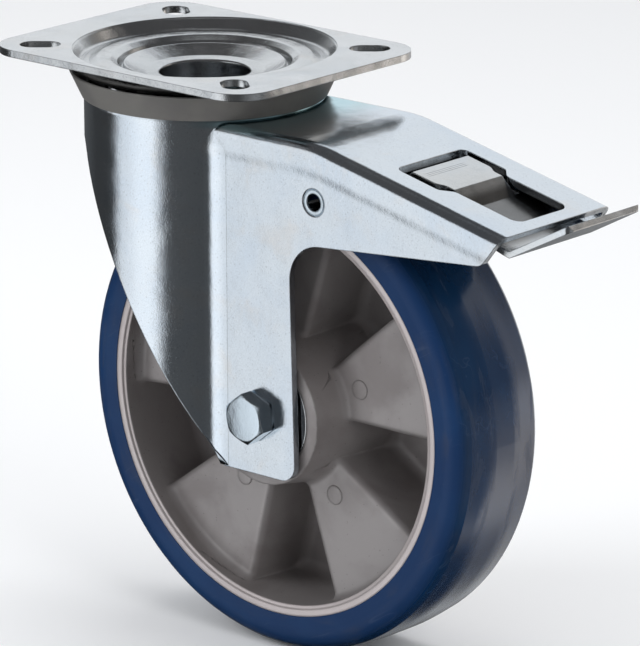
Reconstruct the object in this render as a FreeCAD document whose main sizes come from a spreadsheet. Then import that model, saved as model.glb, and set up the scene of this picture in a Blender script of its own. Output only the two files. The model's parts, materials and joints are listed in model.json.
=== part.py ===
import FreeCAD, Part
import math
import os
import re
import Sketcher

# Swivel castor with a total brake: plate castor, 200 mm wheel, height 235 mm.
# Millimetres, +Z up. The origin is the centre of the plate's top face, on the swivel axis.
# +X is the trailing side, where the pedal is. The wheel turns on an axis along Y.

SIZES = {
    # Top plate
    "plate_length": 140,
    "plate_width": 110,
    "plate_thick": 3,
    "plate_corner": 16,
    "slot_across_x": 105,
    "slot_across_y": 80,
    "slot_width": 11,
    "slot_length": 16.5,
    "slot_turn": 40,
    "dish_radius": 53,
    "dish_depth": 5,
    "dish_wall": 3.2,
    "dish_step": 36,
    # Hollow king pin
    "pin_bore": 18.2,
    "pin_radius": 21.5,
    "pin_head_radius": 33,
    "pin_head_thick": 2.8,
    "pin_cone_turn": 23.6,
    "pin_foot_radius": 26.5,
    "pin_foot_thick": 1.8,
    # Swivel head: two rows of balls, one over and one under the crown of the fork
    "upper_row_radius": 42,
    "upper_ball": 10,
    "upper_count": 18,
    "lower_row_radius": 30.5,
    "lower_ball": 7,
    "lower_count": 20,
    "groove_depth": 0.9,
    "running_gap": 0.3,
    "seat_gap": 0.05,
    "race_thick": 4,
    "ring_radius": 40,
    "ring_tooth_depth": 4.5,
    "ring_tooth_height": 5.2,
    "ring_teeth": 24,
    "ring_gap_root": 4.6,
    "ring_gap_mouth": 6,
    "crown_hole": 26,
    # Fork, pressed from one sheet
    "sheet": 3,
    "head_height": 8.2,
    "drum_radius": 48.5,
    "drum_edge": 3.5,
    "fork_width": 68,
    "valley_round": 4,
    "roof_drop": 19.5,
    "roof_bend_place": 86.2,
    "roof_turn": 12.68,
    "roof_bend_round": 60,
    "roof_edge": 5,
    "nose_place": 181,
    "nose_back": 8,
    "nose_height": 13,
    "nose_round": 6,
    "housing_low": 61.4,
    "housing_low_nose": 55.6,
    "leg_back": 18,
    "leg_front": 18.6,
    "leg_below": 24,
    "leg_round": 7,
    "arch_round": 16,
    "skirt_low": 35.5,
    "skirt_place": 31,
    "window_left": 117.5,
    "window_head_end": 139,
    "window_neck_start": 143.5,
    "window_right": 174.5,
    "window_head_width": 40.8,
    "window_neck_width": 31,
    "window_round": 4.5,
    # Dust seal
    "seal_lip_radius": 54.2,
    "seal_lip_drop": 8.3,
    "seal_wall": 1.5,
    "seal_foot_drop": 18.6,
    # Wheel
    "wheel_radius": 100,
    "wheel_width": 50,
    "axle_offset": 56.5,
    "axle_drop": 135,
    "tread_edge_radius": 98.8,
    "tread_edge_width": 38,
    "tread_flat": 18,
    "shoulder_round": 9,
    "rim_radius": 84.4,
    "rim_width": 48.6,
    "rim_land": 2.9,
    "rim_inside": 79,
    "web_width": 30.4,
    "hub_width": 60,
    "hub_radius": 28.5,
    "hub_foot": 30.5,
    "hub_bore": 19,
    "spoke_count": 5,
    "spoke_phase": 16,
    "pocket_half_turn": 19,
    "pocket_start": 31,
    "pocket_deepest": 44,
    "pocket_end": 77.5,
    "pocket_depth_start": 2,
    "pocket_depth": 15,
    "pocket_depth_end": 8,
    "pocket_floor": 3,
    # Wheel bearings and axle
    "bearing_bore": 20,
    "bearing_outside": 47,
    "bearing_width": 14,
    "bearing_ring": 3.6,
    "bearing_ball": 7.9,
    "bearing_count": 8,
    "bearing_seal": 1,
    "tube_bore": 12.2,
    "sleeve_outside": 26,
    "washer_outside": 27,
    "bolt_size": 12,
    "bolt_flats": 18,
    "bolt_head": 7.5,
    "bolt_turn": 0,
    "nut_height": 10,
    "nut_collar": 3,
    "bolt_end": 2,
    "hex_chamfer": 0.9,
    # Total brake
    "pivot_place": 87.4,
    "pivot_drop": 42.7,
    "pivot_radius": 5.2,
    "pivot_bore": 3.3,
    "pivot_countersink": 0.6,
    "pivot_head_radius": 7.2,
    "pivot_head_thick": 1.2,
    "brake_turn": 7,
    "lever_thick": 2.5,
    "lever_gap": 0.5,
    "finger_tip": 35.4,
    "finger_end": 40.8,
    "finger_top": 27.5,
    "finger_width": 3.6,
    "arm_place": 44.5,
    "arm_top": 29,
    "arm_width": 20,
    "arm_flare_start": 58,
    "arm_flare_end": 73,
    "web_bend": 78,
    "ramp_place": 112,
    "ramp_top": 31.3,
    "tread_place": 147,
    "tread_top": 38.2,
    "pedal_bend": 177.6,
    "pedal_bend_top": 48,
    "pedal_end": 203.4,
    "pedal_end_top": 34.4,
    "pedal_root_width": 50,
    "pedal_end_width": 43,
    "pedal_round": 3,
    "pad_left": 123,
    "pad_shoulder": 134.5,
    "pad_neck": 138,
    "pad_right": 142,
    "pad_head_width": 33.2,
    "pad_neck_width": 28.6,
    "pad_foot_left": 117,
    "pad_foot_right": 149,
    "pad_relief": 1,
    "cheek_low": 8.5,
    "cheek_rear": 150,
    "cheek_rear_depth": 6,
    "shoe_start": 90,
    "shoe_end": 111,
    "shoe_width": 40,
    "shoe_gap": 0.35,
    "shoe_rivet_place": 100,
    "shoe_rivet_across": 22,
    "shoe_rivet_radius": 2.5,
    "shoe_rivet_depth": 5,
    "shoe_rivet_head": 4.4,
    "shoe_rivet_rise": 1.8,
    "spring_thick": 0.8,
    "spring_width": 16,
    "spring_start": 56,
    "spring_bend": 70,
    "spring_toe": 92,
    "spring_end": 97,
    "spring_lift": 1.2,
}

doc = FreeCAD.newDocument("swivel_castor")
sheet = doc.addObject("Spreadsheet::Sheet", "Sizes")
for row, (alias, size) in enumerate(SIZES.items(), start=1):
    sheet.set(f"A{row}", alias)
    sheet.set(f"B{row}", str(size))
    sheet.setAlias(f"B{row}", alias)
doc.recompute()

SUB_PARTS = []


def bound(text):
    """An expression in size names, written the way an object's property needs it."""
    return re.sub(r"[a-z_]+", lambda m: f"Sizes.{m.group()}" if m.group() in SIZES else m.group(), text)


def number(text):
    """What an expression in size names gives now."""
    return float(sheet.evalExpression(text))


def bind(item, path, text):
    """Tie a property to the sizes."""
    item.setExpression(path, bound(text))


# Bodies, planes and placements


def new_body(label, export=True):
    """An empty body. An exported one is a sub-part, and the others are tools."""
    body = doc.addObject("PartDesign::Body", label)
    body.Label = label
    body.AllowCompound = True
    if export:
        SUB_PARTS.append(body)
    return body


def origin_item(body, role):
    """One of a body's own origin planes or axes."""
    return next(item for item in body.Origin.OriginFeatures if item.Role == role)


def new_sketch(body, name, plane, lift="0"):
    """A sketch on an origin plane of its body, lifted along the plane's normal."""
    sketch = body.newObject("Sketcher::SketchObject", name)
    sketch.AttachmentSupport = (origin_item(body, plane), "")
    sketch.MapMode = "FlatFace"
    bind(sketch, "AttachmentOffset.Base.z", lift)
    return sketch


def place(item, x="0", y="0", z="0"):
    """Put a sub-part where the sizes say."""
    for axis, text in zip("xyz", (x, y, z)):
        bind(item, f"Placement.Base.{axis}", text)


def place_on_axle(body, x="axle_offset", z="-axle_drop", turn="0"):
    """Lay a body's own Z along the castor's Y, so that it turns with the wheel's axis."""
    about_x = FreeCAD.Rotation(FreeCAD.Vector(1, 0, 0), -90)
    about_z = FreeCAD.Rotation(FreeCAD.Vector(0, 0, 1), number(turn))
    body.Placement = FreeCAD.Placement(FreeCAD.Vector(), about_x * about_z)
    place(body, x, "0", z)


# Sketch outlines


def tie(sketch, constraint, name, text):
    """Add a constraint whose value follows the sizes."""
    sketch.renameConstraint(sketch.addConstraint(constraint), name)
    bind(sketch, f"Constraints.{name}", text)


def pin_point(sketch, geometry, end, x, y, name):
    """Hold a point of the sketch at a place given by two expressions."""
    for kind, text, axis in (("DistanceX", x, -2), ("DistanceY", y, -1)):
        if text == "0":
            sketch.addConstraint(Sketcher.Constraint("PointOnObject", geometry, end, axis))
            continue
        made = Sketcher.Constraint(kind, -1, 1, geometry, end, number(text))
        tie(sketch, made, f"{name}_{kind[-1].lower()}", text)


def corner_arc(corner, start, end, radius):
    """The arc that rounds a corner between two points on its sides, and whether it runs from start to end."""
    inward = ((start - corner) + (end - corner)).normalize()
    half = (start - corner).getAngle(end - corner) / 2
    centre = corner + inward * (radius / math.sin(half))
    forward = (corner - start).cross(end - corner).z > 0
    first, last = (start, end) if forward else (end, start)
    angles = [math.atan2(p.y - centre.y, p.x - centre.x) for p in (first, last)]
    circle = Part.Circle(centre, FreeCAD.Vector(0, 0, 1), radius)
    return Part.ArcOfCircle(circle, angles[0], angles[1]), forward


def draw_outline(sketch, corners):
    """A closed outline. Each corner is (x, y) or (x, y, rounding radius)."""
    points = [FreeCAD.Vector(number(c[0]), number(c[1]), 0) for c in corners]
    count = len(points)
    ends = []
    for i, point in enumerate(points):
        to_last = (points[i - 1] - point).normalize()
        to_next = (points[(i + 1) % count] - point).normalize()
        rounding = number(corners[i][2]) if len(corners[i]) > 2 else 0
        reach = rounding / math.tan(to_last.getAngle(to_next) / 2)
        ends.append((point + to_last * reach, point + to_next * reach))
    lines = []
    for i in range(count):
        segment = Part.LineSegment(ends[i][1], ends[(i + 1) % count][0])
        lines.append(sketch.addGeometry(segment))
    for i, point in enumerate(points):
        before, after = lines[i - 1], lines[i]
        name = f"corner_{i}"
        if len(corners[i]) == 2:
            sketch.addConstraint(Sketcher.Constraint("Coincident", before, 2, after, 1))
            pin_point(sketch, after, 1, corners[i][0], corners[i][1], name)
            continue
        curve, forward = corner_arc(point, ends[i][0], ends[i][1], number(corners[i][2]))
        arc = sketch.addGeometry(curve)
        first, last = (1, 2) if forward else (2, 1)
        sketch.addConstraint(Sketcher.Constraint("Tangent", before, 2, arc, first))
        sketch.addConstraint(Sketcher.Constraint("Tangent", arc, last, after, 1))
        tie(sketch, Sketcher.Constraint("Radius", arc, curve.Radius), f"{name}_r", corners[i][2])
        mark = sketch.addGeometry(Part.Point(point), True)
        sketch.addConstraint(Sketcher.Constraint("PointOnObject", mark, 1, before))
        sketch.addConstraint(Sketcher.Constraint("PointOnObject", mark, 1, after))
        pin_point(sketch, mark, 1, corners[i][0], corners[i][1], name)


def draw_circle(sketch, x, y, radius, name="circle"):
    """A whole circle."""
    centre = FreeCAD.Vector(number(x), number(y), 0)
    circle = sketch.addGeometry(Part.Circle(centre, FreeCAD.Vector(0, 0, 1), number(radius)))
    tie(sketch, Sketcher.Constraint("Radius", circle, number(radius)), f"{name}_r", radius)
    pin_point(sketch, circle, 3, x, y, name)


def draw_half_circle(sketch, x, y, radius):
    """Half a circle on the side away from the Y axis, closed along its diameter."""
    centre = FreeCAD.Vector(number(x), number(y), 0)
    size = number(radius)
    circle = Part.Circle(centre, FreeCAD.Vector(0, 0, 1), size)
    arc = sketch.addGeometry(Part.ArcOfCircle(circle, -math.pi / 2, math.pi / 2))
    rise = FreeCAD.Vector(0, size, 0)
    line = sketch.addGeometry(Part.LineSegment(centre + rise, centre - rise))
    sketch.addConstraint(Sketcher.Constraint("Coincident", arc, 2, line, 1))
    sketch.addConstraint(Sketcher.Constraint("Coincident", arc, 1, line, 2))
    sketch.addConstraint(Sketcher.Constraint("PointOnObject", arc, 3, line))
    sketch.addConstraint(Sketcher.Constraint("Vertical", line))
    tie(sketch, Sketcher.Constraint("Radius", arc, size), "ball_r", radius)
    pin_point(sketch, arc, 3, x, y, "ball")


def draw_slot(sketch, width, length):
    """A slot with round ends along the sketch's own X, centred on its origin."""
    radius = number(width) / 2
    half = number(length) / 2 - radius
    normal = FreeCAD.Vector(0, 0, 1)
    right = Part.Circle(FreeCAD.Vector(half, 0, 0), normal, radius)
    left = Part.Circle(FreeCAD.Vector(-half, 0, 0), normal, radius)
    right_arc = sketch.addGeometry(Part.ArcOfCircle(right, -math.pi / 2, math.pi / 2))
    left_arc = sketch.addGeometry(Part.ArcOfCircle(left, math.pi / 2, 3 * math.pi / 2))
    top = Part.LineSegment(FreeCAD.Vector(half, radius, 0), FreeCAD.Vector(-half, radius, 0))
    low = Part.LineSegment(FreeCAD.Vector(-half, -radius, 0), FreeCAD.Vector(half, -radius, 0))
    top_line = sketch.addGeometry(top)
    low_line = sketch.addGeometry(low)
    joins = ((right_arc, 2, top_line, 1), (top_line, 2, left_arc, 1))
    joins += ((left_arc, 2, low_line, 1), (low_line, 2, right_arc, 1))
    for join in joins:
        sketch.addConstraint(Sketcher.Constraint("Tangent", *join))
    tie(sketch, Sketcher.Constraint("Radius", right_arc, radius), "end_r", f"{width} / 2")
    pin_point(sketch, right_arc, 3, f"{length} / 2 - {width} / 2", "0", "right")
    pin_point(sketch, left_arc, 3, f"{width} / 2 - {length} / 2", "0", "left")


def hexagon(flats, turn):
    """Corners of a hexagon by its width across flats."""
    corners = []
    for i in range(6):
        angle = f"{60 * i} + {turn}"
        corners.append((f"{flats} / 2 / cos(30) * cos({angle})", f"{flats} / 2 / cos(30) * sin({angle})"))
    return corners


def mirrored_about_x(half):
    """A closed outline from its upper half: (x, y) or (x, y, rounding) with y above zero."""
    lower = [(c[0], f"0 - ({c[1]})", *c[2:]) for c in reversed(half)]
    return list(half) + lower


# Features


def pad(body, name, corners, plane, length, lift="0", both=False):
    """Pad an outline along its plane's normal, or to both sides of the plane."""
    sketch = new_sketch(body, f"{name}_sketch", plane, lift)
    draw_outline(sketch, corners)
    feature = body.newObject("PartDesign::Pad", name)
    feature.Profile = sketch
    feature.SideType = "Symmetric" if both else "One side"
    bind(feature, "Length", length)
    return feature


def pad_circle(body, name, radius, length, lift):
    """Pad a round bar along Z."""
    sketch = new_sketch(body, f"{name}_sketch", "XY_Plane", lift)
    draw_circle(sketch, "0", "0", radius)
    feature = body.newObject("PartDesign::Pad", name)
    feature.Profile = sketch
    bind(feature, "Length", length)
    return feature


def cut_through(body, name, sketch):
    """Cut a sketch right through, to both sides of its plane."""
    feature = body.newObject("PartDesign::Pocket", name)
    feature.Profile = sketch
    feature.SideType = "Symmetric"
    feature.Type = "ThroughAll"
    return feature


def revolve(body, name, corners):
    """Turn a half section, (radius, height), about Z."""
    sketch = new_sketch(body, f"{name}_sketch", "XZ_Plane")
    draw_outline(sketch, corners)
    feature = body.newObject("PartDesign::Revolution", name)
    feature.Profile = sketch
    feature.ReferenceAxis = (sketch, ["V_Axis"])
    return feature


def groove(body, name, corners):
    """Cut a half section, (radius, height), all round Z."""
    sketch = new_sketch(body, f"{name}_sketch", "XZ_Plane")
    draw_outline(sketch, corners)
    feature = body.newObject("PartDesign::Groove", name)
    feature.Profile = sketch
    feature.ReferenceAxis = (sketch, ["V_Axis"])
    return feature


def ball_groove(body, name, row_radius, height, radius):
    """Cut the round track of a row of balls."""
    sketch = new_sketch(body, f"{name}_sketch", "XZ_Plane")
    draw_circle(sketch, row_radius, height, radius)
    feature = body.newObject("PartDesign::Groove", name)
    feature.Profile = sketch
    feature.ReferenceAxis = (sketch, ["V_Axis"])
    return feature


def pattern_round(body, name, original, count):
    """Repeat a feature evenly about Z."""
    feature = body.newObject("PartDesign::PolarPattern", name)
    feature.Originals = [original]
    feature.Axis = (origin_item(body, "Z_Axis"), [""])
    feature.Angle = 360
    bind(feature, "Occurrences", count)
    body.Tip = feature
    return feature


def mirror_across(body, name, originals, plane):
    """Repeat features on the other side of an origin plane."""
    feature = body.newObject("PartDesign::Mirrored", name)
    feature.Originals = originals
    feature.MirrorPlane = (origin_item(body, plane), [""])
    body.Tip = feature
    return feature


def edge_names(shape, wanted):
    """Names of a shape's edges that pass a test."""
    return [f"Edge{i}" for i, edge in enumerate(shape.Edges, start=1) if wanted(edge)]


def fillet(body, name, base, radius, wanted):
    """Round the edges of a body's last feature that pass a test."""
    doc.recompute()
    feature = body.newObject("PartDesign::Fillet", name)
    feature.Base = (base, edge_names(base.Shape, wanted))
    bind(feature, "Radius", radius)
    return feature


def ball_row(label, row_radius, height, ball, count):
    """A row of separate balls about Z."""
    body = new_body(label)
    sketch = new_sketch(body, f"{label}_sketch", "XZ_Plane")
    draw_half_circle(sketch, row_radius, height, f"{ball} / 2")
    one = body.newObject("PartDesign::Revolution", f"{label}_one")
    one.Profile = sketch
    one.ReferenceAxis = (sketch, [f"Edge{2}"])
    pattern_round(body, f"{label}_row", one, count)
    return body


# Booleans between bodies


def cylinder(name, radius, height, x="0", y="0", z="0", along_y=False):
    """A round tool."""
    tool = doc.addObject("Part::Cylinder", name)
    bind(tool, "Radius", radius)
    bind(tool, "Height", height)
    if along_y:
        tool.Placement.Rotation = FreeCAD.Rotation(FreeCAD.Vector(1, 0, 0), -90)
    place(tool, x, y, z)
    return tool


def torus(name, row_radius, radius, z):
    """A ring-shaped tool for a row of balls."""
    tool = doc.addObject("Part::Torus", name)
    bind(tool, "Radius1", row_radius)
    bind(tool, "Radius2", radius)
    place(tool, "0", "0", z)
    return tool


def joined(name, shapes):
    """Several shapes as one."""
    fuse = doc.addObject("Part::MultiFuse", name)
    fuse.Shapes = shapes
    fuse.Refine = True
    return fuse


def shared(name, shapes):
    """What several shapes share."""
    common = doc.addObject("Part::MultiCommon", name)
    common.Shapes = shapes
    return common


def taken_from(name, base, tool, export=False):
    """One shape less another."""
    cut = doc.addObject("Part::Cut", name)
    cut.Base = base
    cut.Tool = tool
    if export:
        cut.Label = name
        SUB_PARTS.append(cut)
    return cut


# Heights that several sub-parts share

DISH_TOP = "0 - dish_depth"
DISH_UNDER = "(0 - dish_depth - plate_thick)"
UPPER_BALL_HEIGHT = f"({DISH_UNDER} + groove_depth - upper_ball / 2)"
CROWN_TOP = "(0 - dish_depth - plate_thick - head_height)"
CROWN_UNDER = f"({CROWN_TOP} - sheet)"
LOWER_BALL_HEIGHT = f"({CROWN_UNDER} + groove_depth - 0.1 - lower_ball / 2)"
RACE_TOP = f"({LOWER_BALL_HEIGHT} - lower_ball / 2 - running_gap + groove_depth + 0.1)"
RACE_UNDER = f"({RACE_TOP} - race_thick)"
CONE_SLOPE = "tan(pin_cone_turn)"


def cone_height(radius):
    """Height of the conical seat of the king pin's head in the plate."""
    return f"(0 - dish_depth - 3.35 - (pin_head_radius + 0.4 - ({radius})) * {CONE_SLOPE})"


# Top plate


def make_top_plate():
    """Pressed plate with four slots, a dish for the balls and a conical seat for the king pin."""
    body = new_body("top_plate")
    half = [("plate_length / 2", "plate_width / 2", "plate_corner")]
    half += [("0 - plate_length / 2", "plate_width / 2", "plate_corner")]
    pad(body, "plate_blank", mirrored_about_x(half), "XY_Plane", "plate_thick", "0 - plate_thick")
    opening = new_sketch(body, "opening_sketch", "XY_Plane")
    draw_circle(opening, "0", "0", "dish_radius")
    cut_through(body, "opening", opening)
    inner = "pin_radius + seat_gap"
    section = [
        ("dish_radius + 1.8", "0"),
        ("dish_radius", "0", "2.2"),
        ("dish_radius - dish_wall", DISH_TOP, "2"),
        ("dish_step", DISH_TOP, "1.2"),
        ("pin_head_radius + 0.4", cone_height("pin_head_radius + 0.4")),
        (inner, cone_height(inner)),
        (inner, f"{cone_height(inner)} - plate_thick"),
        ("pin_head_radius + 1", f"{cone_height('pin_head_radius + 1')} - plate_thick", "2"),
        ("dish_step + 1.2", DISH_UNDER, "1"),
        ("dish_radius - dish_wall + 1.8", DISH_UNDER, "3"),
        ("dish_radius + 1.8", "0 - plate_thick"),
    ]
    revolve(body, "dish", section)
    ball_groove(body, "dish_track", "upper_row_radius", UPPER_BALL_HEIGHT, "upper_ball / 2 + running_gap")
    for side_x in (1, -1):
        for side_y in (1, -1):
            name = f"slot_{'right' if side_x > 0 else 'left'}_{'far' if side_y > 0 else 'near'}"
            sketch = new_sketch(body, f"{name}_sketch", "XY_Plane")
            turn = number("slot_turn") * side_x * side_y
            sketch.AttachmentOffset.Rotation = FreeCAD.Rotation(FreeCAD.Vector(0, 0, 1), turn)
            bind(sketch, "AttachmentOffset.Base.x", f"{side_x} * slot_across_x / 2")
            bind(sketch, "AttachmentOffset.Base.y", f"{side_y} * slot_across_y / 2")
            draw_slot(sketch, "slot_width", "slot_length")
            cut_through(body, name, sketch)


# King pin and the toothed lower race


def make_king_pin():
    """Hollow rivet: its head lies in the plate's cone and its foot is rolled under the lower race."""
    body = new_body("king_pin")
    head_low = cone_height("pin_head_radius")
    section = [
        ("pin_bore", "0 - dish_depth - 4.7", "1"),
        ("24", "0 - dish_depth - 4.4", "1.5"),
        ("pin_head_radius - 0.6", f"{head_low} + pin_head_thick", "0.5"),
        ("pin_head_radius", f"{head_low}"),
        ("pin_radius", cone_height("pin_radius")),
        ("pin_radius", RACE_UNDER),
        ("pin_foot_radius", RACE_UNDER),
        ("pin_foot_radius", f"{RACE_UNDER} - pin_foot_thick * 0.6", "0.8"),
        ("pin_bore + 1.5", f"{RACE_UNDER} - pin_foot_thick * 1.7", "1"),
        ("pin_bore", f"{RACE_UNDER} - pin_foot_thick"),
    ]
    revolve(body, "pin", section)


def make_lock_ring():
    """Lower race with a toothed rim, which the brake lever's finger enters."""
    body = new_body("lock_ring")
    inner = "pin_radius + seat_gap"
    rim_top = f"{CROWN_UNDER} - 1.2"
    rim_low = f"{CROWN_UNDER} - 1.2 - ring_tooth_height"
    root = "ring_radius - ring_tooth_depth"
    wall = "lower_row_radius + lower_ball / 2 + 0.4"
    section = [
        (inner, RACE_UNDER),
        (f"{root} - 2.5", RACE_UNDER, "0.8"),
        (f"{root} - 0.5", rim_low),
        ("ring_radius", rim_low),
        ("ring_radius", rim_top, "0.6"),
        (wall, rim_top),
        (wall, RACE_TOP),
        (inner, RACE_TOP),
    ]
    revolve(body, "ring", section)
    track = "lower_ball / 2 + running_gap"
    ball_groove(body, "ring_track", "lower_row_radius", LOWER_BALL_HEIGHT, track)
    sketch = new_sketch(body, "tooth_gap_sketch", "XY_Plane")
    half = [(root, "ring_gap_root / 2"), ("ring_radius + 1", "ring_gap_mouth / 2")]
    draw_outline(sketch, mirrored_about_x(half))
    gap = cut_through(body, "tooth_gap", sketch)
    pattern_round(body, "tooth_gaps", gap, "ring_teeth")


# Dust seal


def make_dust_seal():
    """Flared plastic ring that sits on the crown and closes the gap under the plate."""
    body = new_body("dust_seal")
    section = [
        ("drum_radius - 1.6", CROWN_TOP),
        ("drum_radius + 0.1", f"{CROWN_TOP}"),
        ("drum_radius + 0.1", "0 - seal_foot_drop"),
        ("drum_radius + 0.9", "0 - seal_foot_drop", "0.3"),
        ("seal_lip_radius", "0 - seal_lip_drop"),
        ("seal_lip_radius - 0.9", "0 - seal_lip_drop + 0.4", "0.3"),
        ("drum_radius - 0.6", f"{CROWN_TOP} + seal_wall"),
        ("drum_radius - 1.6", f"{CROWN_TOP} + seal_wall"),
    ]
    revolve(body, "seal", section)


# Fork


def roof_height(x, under=False):
    """Height of the housing's sloped roof over a place, on its outer or its inner face."""
    depth = "sheet / cos(roof_turn)" if under else "0"
    return f"(0 - roof_drop - (({x}) - roof_bend_place) * tan(roof_turn) - {depth})"


def make_drum(name, radius, top, edge):
    """The round front of the fork as a plain solid."""
    body = new_body(name, export=False)
    low = "0 - axle_drop - leg_below - 6"
    revolve(body, f"{name}_turned", [("0", low), (radius, low), (radius, top, edge), ("0", top)])
    return body


def make_housing(name, half_width, inside):
    """The flat-sided part of the fork, with its bent roof, as a plain solid."""
    body = new_body(name, export=False)
    low = "0 - axle_drop - leg_below - 6"
    far = "nose_place + 8"
    drop = "sheet" if inside else "0"
    bend = "roof_bend_place - sheet * tan(roof_turn / 2)" if inside else "roof_bend_place"
    bend_round = "roof_bend_round - sheet" if inside else "roof_bend_round"
    corners = [
        ("0", low),
        ("0", f"0 - roof_drop - {drop}"),
        (bend, f"0 - roof_drop - {drop}", bend_round),
        (far, roof_height(far, inside)),
        (far, low),
    ]
    block = pad(body, f"{name}_block", corners, "XZ_Plane", f"2 * ({half_width})", both=True)
    width = number(half_width)
    floor = number(low)

    def along_roof(edge):
        ends = [v.Point for v in edge.Vertexes]
        sides = all(abs(abs(p.y) - width) < 0.01 for p in ends) and ends[0].y * ends[-1].y > 0
        level = abs(ends[0].x - ends[-1].x) > 0.01
        return sides and level and all(p.z > floor + 1 for p in ends)

    fillet(body, f"{name}_edges", block, "roof_edge - sheet" if inside else "roof_edge", along_roof)
    return body


def make_fork_outline():
    """Side view of the pressed fork: skirt, slanted front edge, leg, arch and nose."""
    body = new_body("fork_outline", export=False)
    slope = "((axle_drop + leg_below - skirt_low) / (skirt_place + 37.9))"
    leg_foot = "0 - axle_drop - leg_below"
    corners = [
        ("0 - drum_radius - 10", "0"),
        ("0 - drum_radius - 10", "0 - skirt_low"),
        ("0 - skirt_place", "0 - skirt_low", "6"),
        (f"(axle_drop + leg_below - skirt_low) / {slope} - skirt_place", leg_foot, "5"),
        ("axle_offset + leg_front + 2", leg_foot, "leg_round"),
        ("axle_offset + leg_back", "0 - housing_low", "arch_round"),
        ("nose_place - nose_back - 1.5", "0 - housing_low_nose + 2.4", "nose_round"),
        ("nose_place", roof_height("nose_place")),
        ("nose_place", "0"),
    ]
    pad(body, "fork_side", corners, "XZ_Plane", "4 * drum_radius", both=True)
    return body


def make_window():
    """Bottle-shaped opening in the roof, over the lever's pad."""
    body = new_body("fork_window", export=False)
    half = [
        ("window_right", "window_neck_width / 2", "window_round"),
        ("window_neck_start", "window_neck_width / 2", "3"),
        ("window_head_end", "window_head_width / 2", "3"),
        ("window_left", "window_head_width / 2", "3.5"),
    ]
    pad(body, "window", mirrored_about_x(half), "XY_Plane", "70", "0 - 70")
    return body


def make_fork():
    """One pressed sheet: crown, round front, two legs and the brake housing."""
    outside = joined(
        "fork_outside",
        [
            make_drum("drum_outside", "drum_radius", CROWN_TOP, "drum_edge"),
            make_housing("housing_outside", "fork_width / 2", inside=False),
        ],
    )
    inside = joined(
        "fork_inside",
        [
            make_drum("drum_inside", "drum_radius - sheet", CROWN_UNDER, "drum_edge - sheet"),
            make_housing("housing_inside", "fork_width / 2 - sheet", inside=True),
        ],
    )
    shell = taken_from("fork_shell", outside, inside)
    trimmed = shared("fork_trimmed", [shell, make_fork_outline()])
    across = {"along_y": True, "y": "0 - fork_width / 2 - 1"}
    holes = [
        cylinder("crown_hole_tool", "crown_hole", "40", z="0 - 40"),
        torus("upper_track_tool", "upper_row_radius", "upper_ball / 2 + seat_gap", UPPER_BALL_HEIGHT),
        torus("lower_track_tool", "lower_row_radius", "lower_ball / 2 + seat_gap", LOWER_BALL_HEIGHT),
        cylinder("axle_hole_tool", "bolt_size / 2 + seat_gap", "fork_width + 2",
                 "axle_offset", z="0 - axle_drop", **across),
        cylinder("pivot_hole_tool", "pivot_radius", "fork_width + 2",
                 "pivot_place", z="0 - pivot_drop", **across),
        make_window(),
    ]
    for name, turn in (("near", 90), ("far", -90)):
        sink = doc.addObject("Part::Cone", f"pivot_sink_{name}")
        bind(sink, "Radius1", "pivot_radius + pivot_countersink")
        bind(sink, "Radius2", "pivot_radius")
        bind(sink, "Height", "pivot_countersink")
        sink.Placement.Rotation = FreeCAD.Rotation(FreeCAD.Vector(1, 0, 0), -turn)
        side = "0 - fork_width / 2" if turn > 0 else "fork_width / 2"
        place(sink, "pivot_place", side, "0 - pivot_drop")
        holes.append(sink)
    taken_from("fork", trimmed, joined("fork_holes", holes), export=True)


# Brake lever


def lever_height(x, start, end, under=False):
    """Height of the lever's plate over a place between two of its bends, on its upper or lower face."""
    (x0, z0), (x1, z1) = start, end
    run = f"(({x1}) - ({x0}))"
    rise = f"(({z0}) - ({z1}))"
    depth = f"lever_thick * sqrt(1 + pow({rise} / {run}; 2))" if under else "0"
    return f"(0 - ({z0}) + (({x}) - ({x0})) * {rise} / {run} - {depth})"


LEVER_BENDS = [
    ("finger_tip", "finger_top"),
    ("finger_end", "finger_top"),
    ("arm_place", "arm_top"),
    ("web_bend", "arm_top"),
    ("ramp_place", "ramp_top"),
    ("tread_place", "tread_top"),
    ("pedal_bend", "pedal_bend_top"),
    ("pedal_end", "pedal_end_top"),
]


def pad_top(x):
    """Height of the raised pad's face, flush with the roof."""
    return roof_height(x)


def strip_section(bends):
    """Side view of a bent strip: its upper face, then its lower face, one thickness below."""
    upper = [(x, f"0 - ({z})") for x, z in bends]
    points = [(number(x), -number(z)) for x, z in bends]
    lower = []
    for i, (x, z) in enumerate(bends):
        turns = []
        for a, b in ((i - 1, i), (i, i + 1)):
            if a >= 0 and b < len(bends):
                (xa, za), (xb, zb) = bends[a], bends[b]
                turns.append(f"atan2(({za}) - ({zb}); ({xb}) - ({xa}))")
        turn = f"(({turns[0]} + {turns[-1]}) / 2)"
        bend = f"(({turns[-1]} - {turns[0]}) / 2)"
        lower.append(
            (
                f"{x} + lever_thick * sin({turn}) / cos({bend})",
                f"0 - ({z}) - lever_thick * cos({turn}) / cos({bend})",
            )
        )
    assert len(points) > 1
    return upper + lower[::-1]


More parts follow.
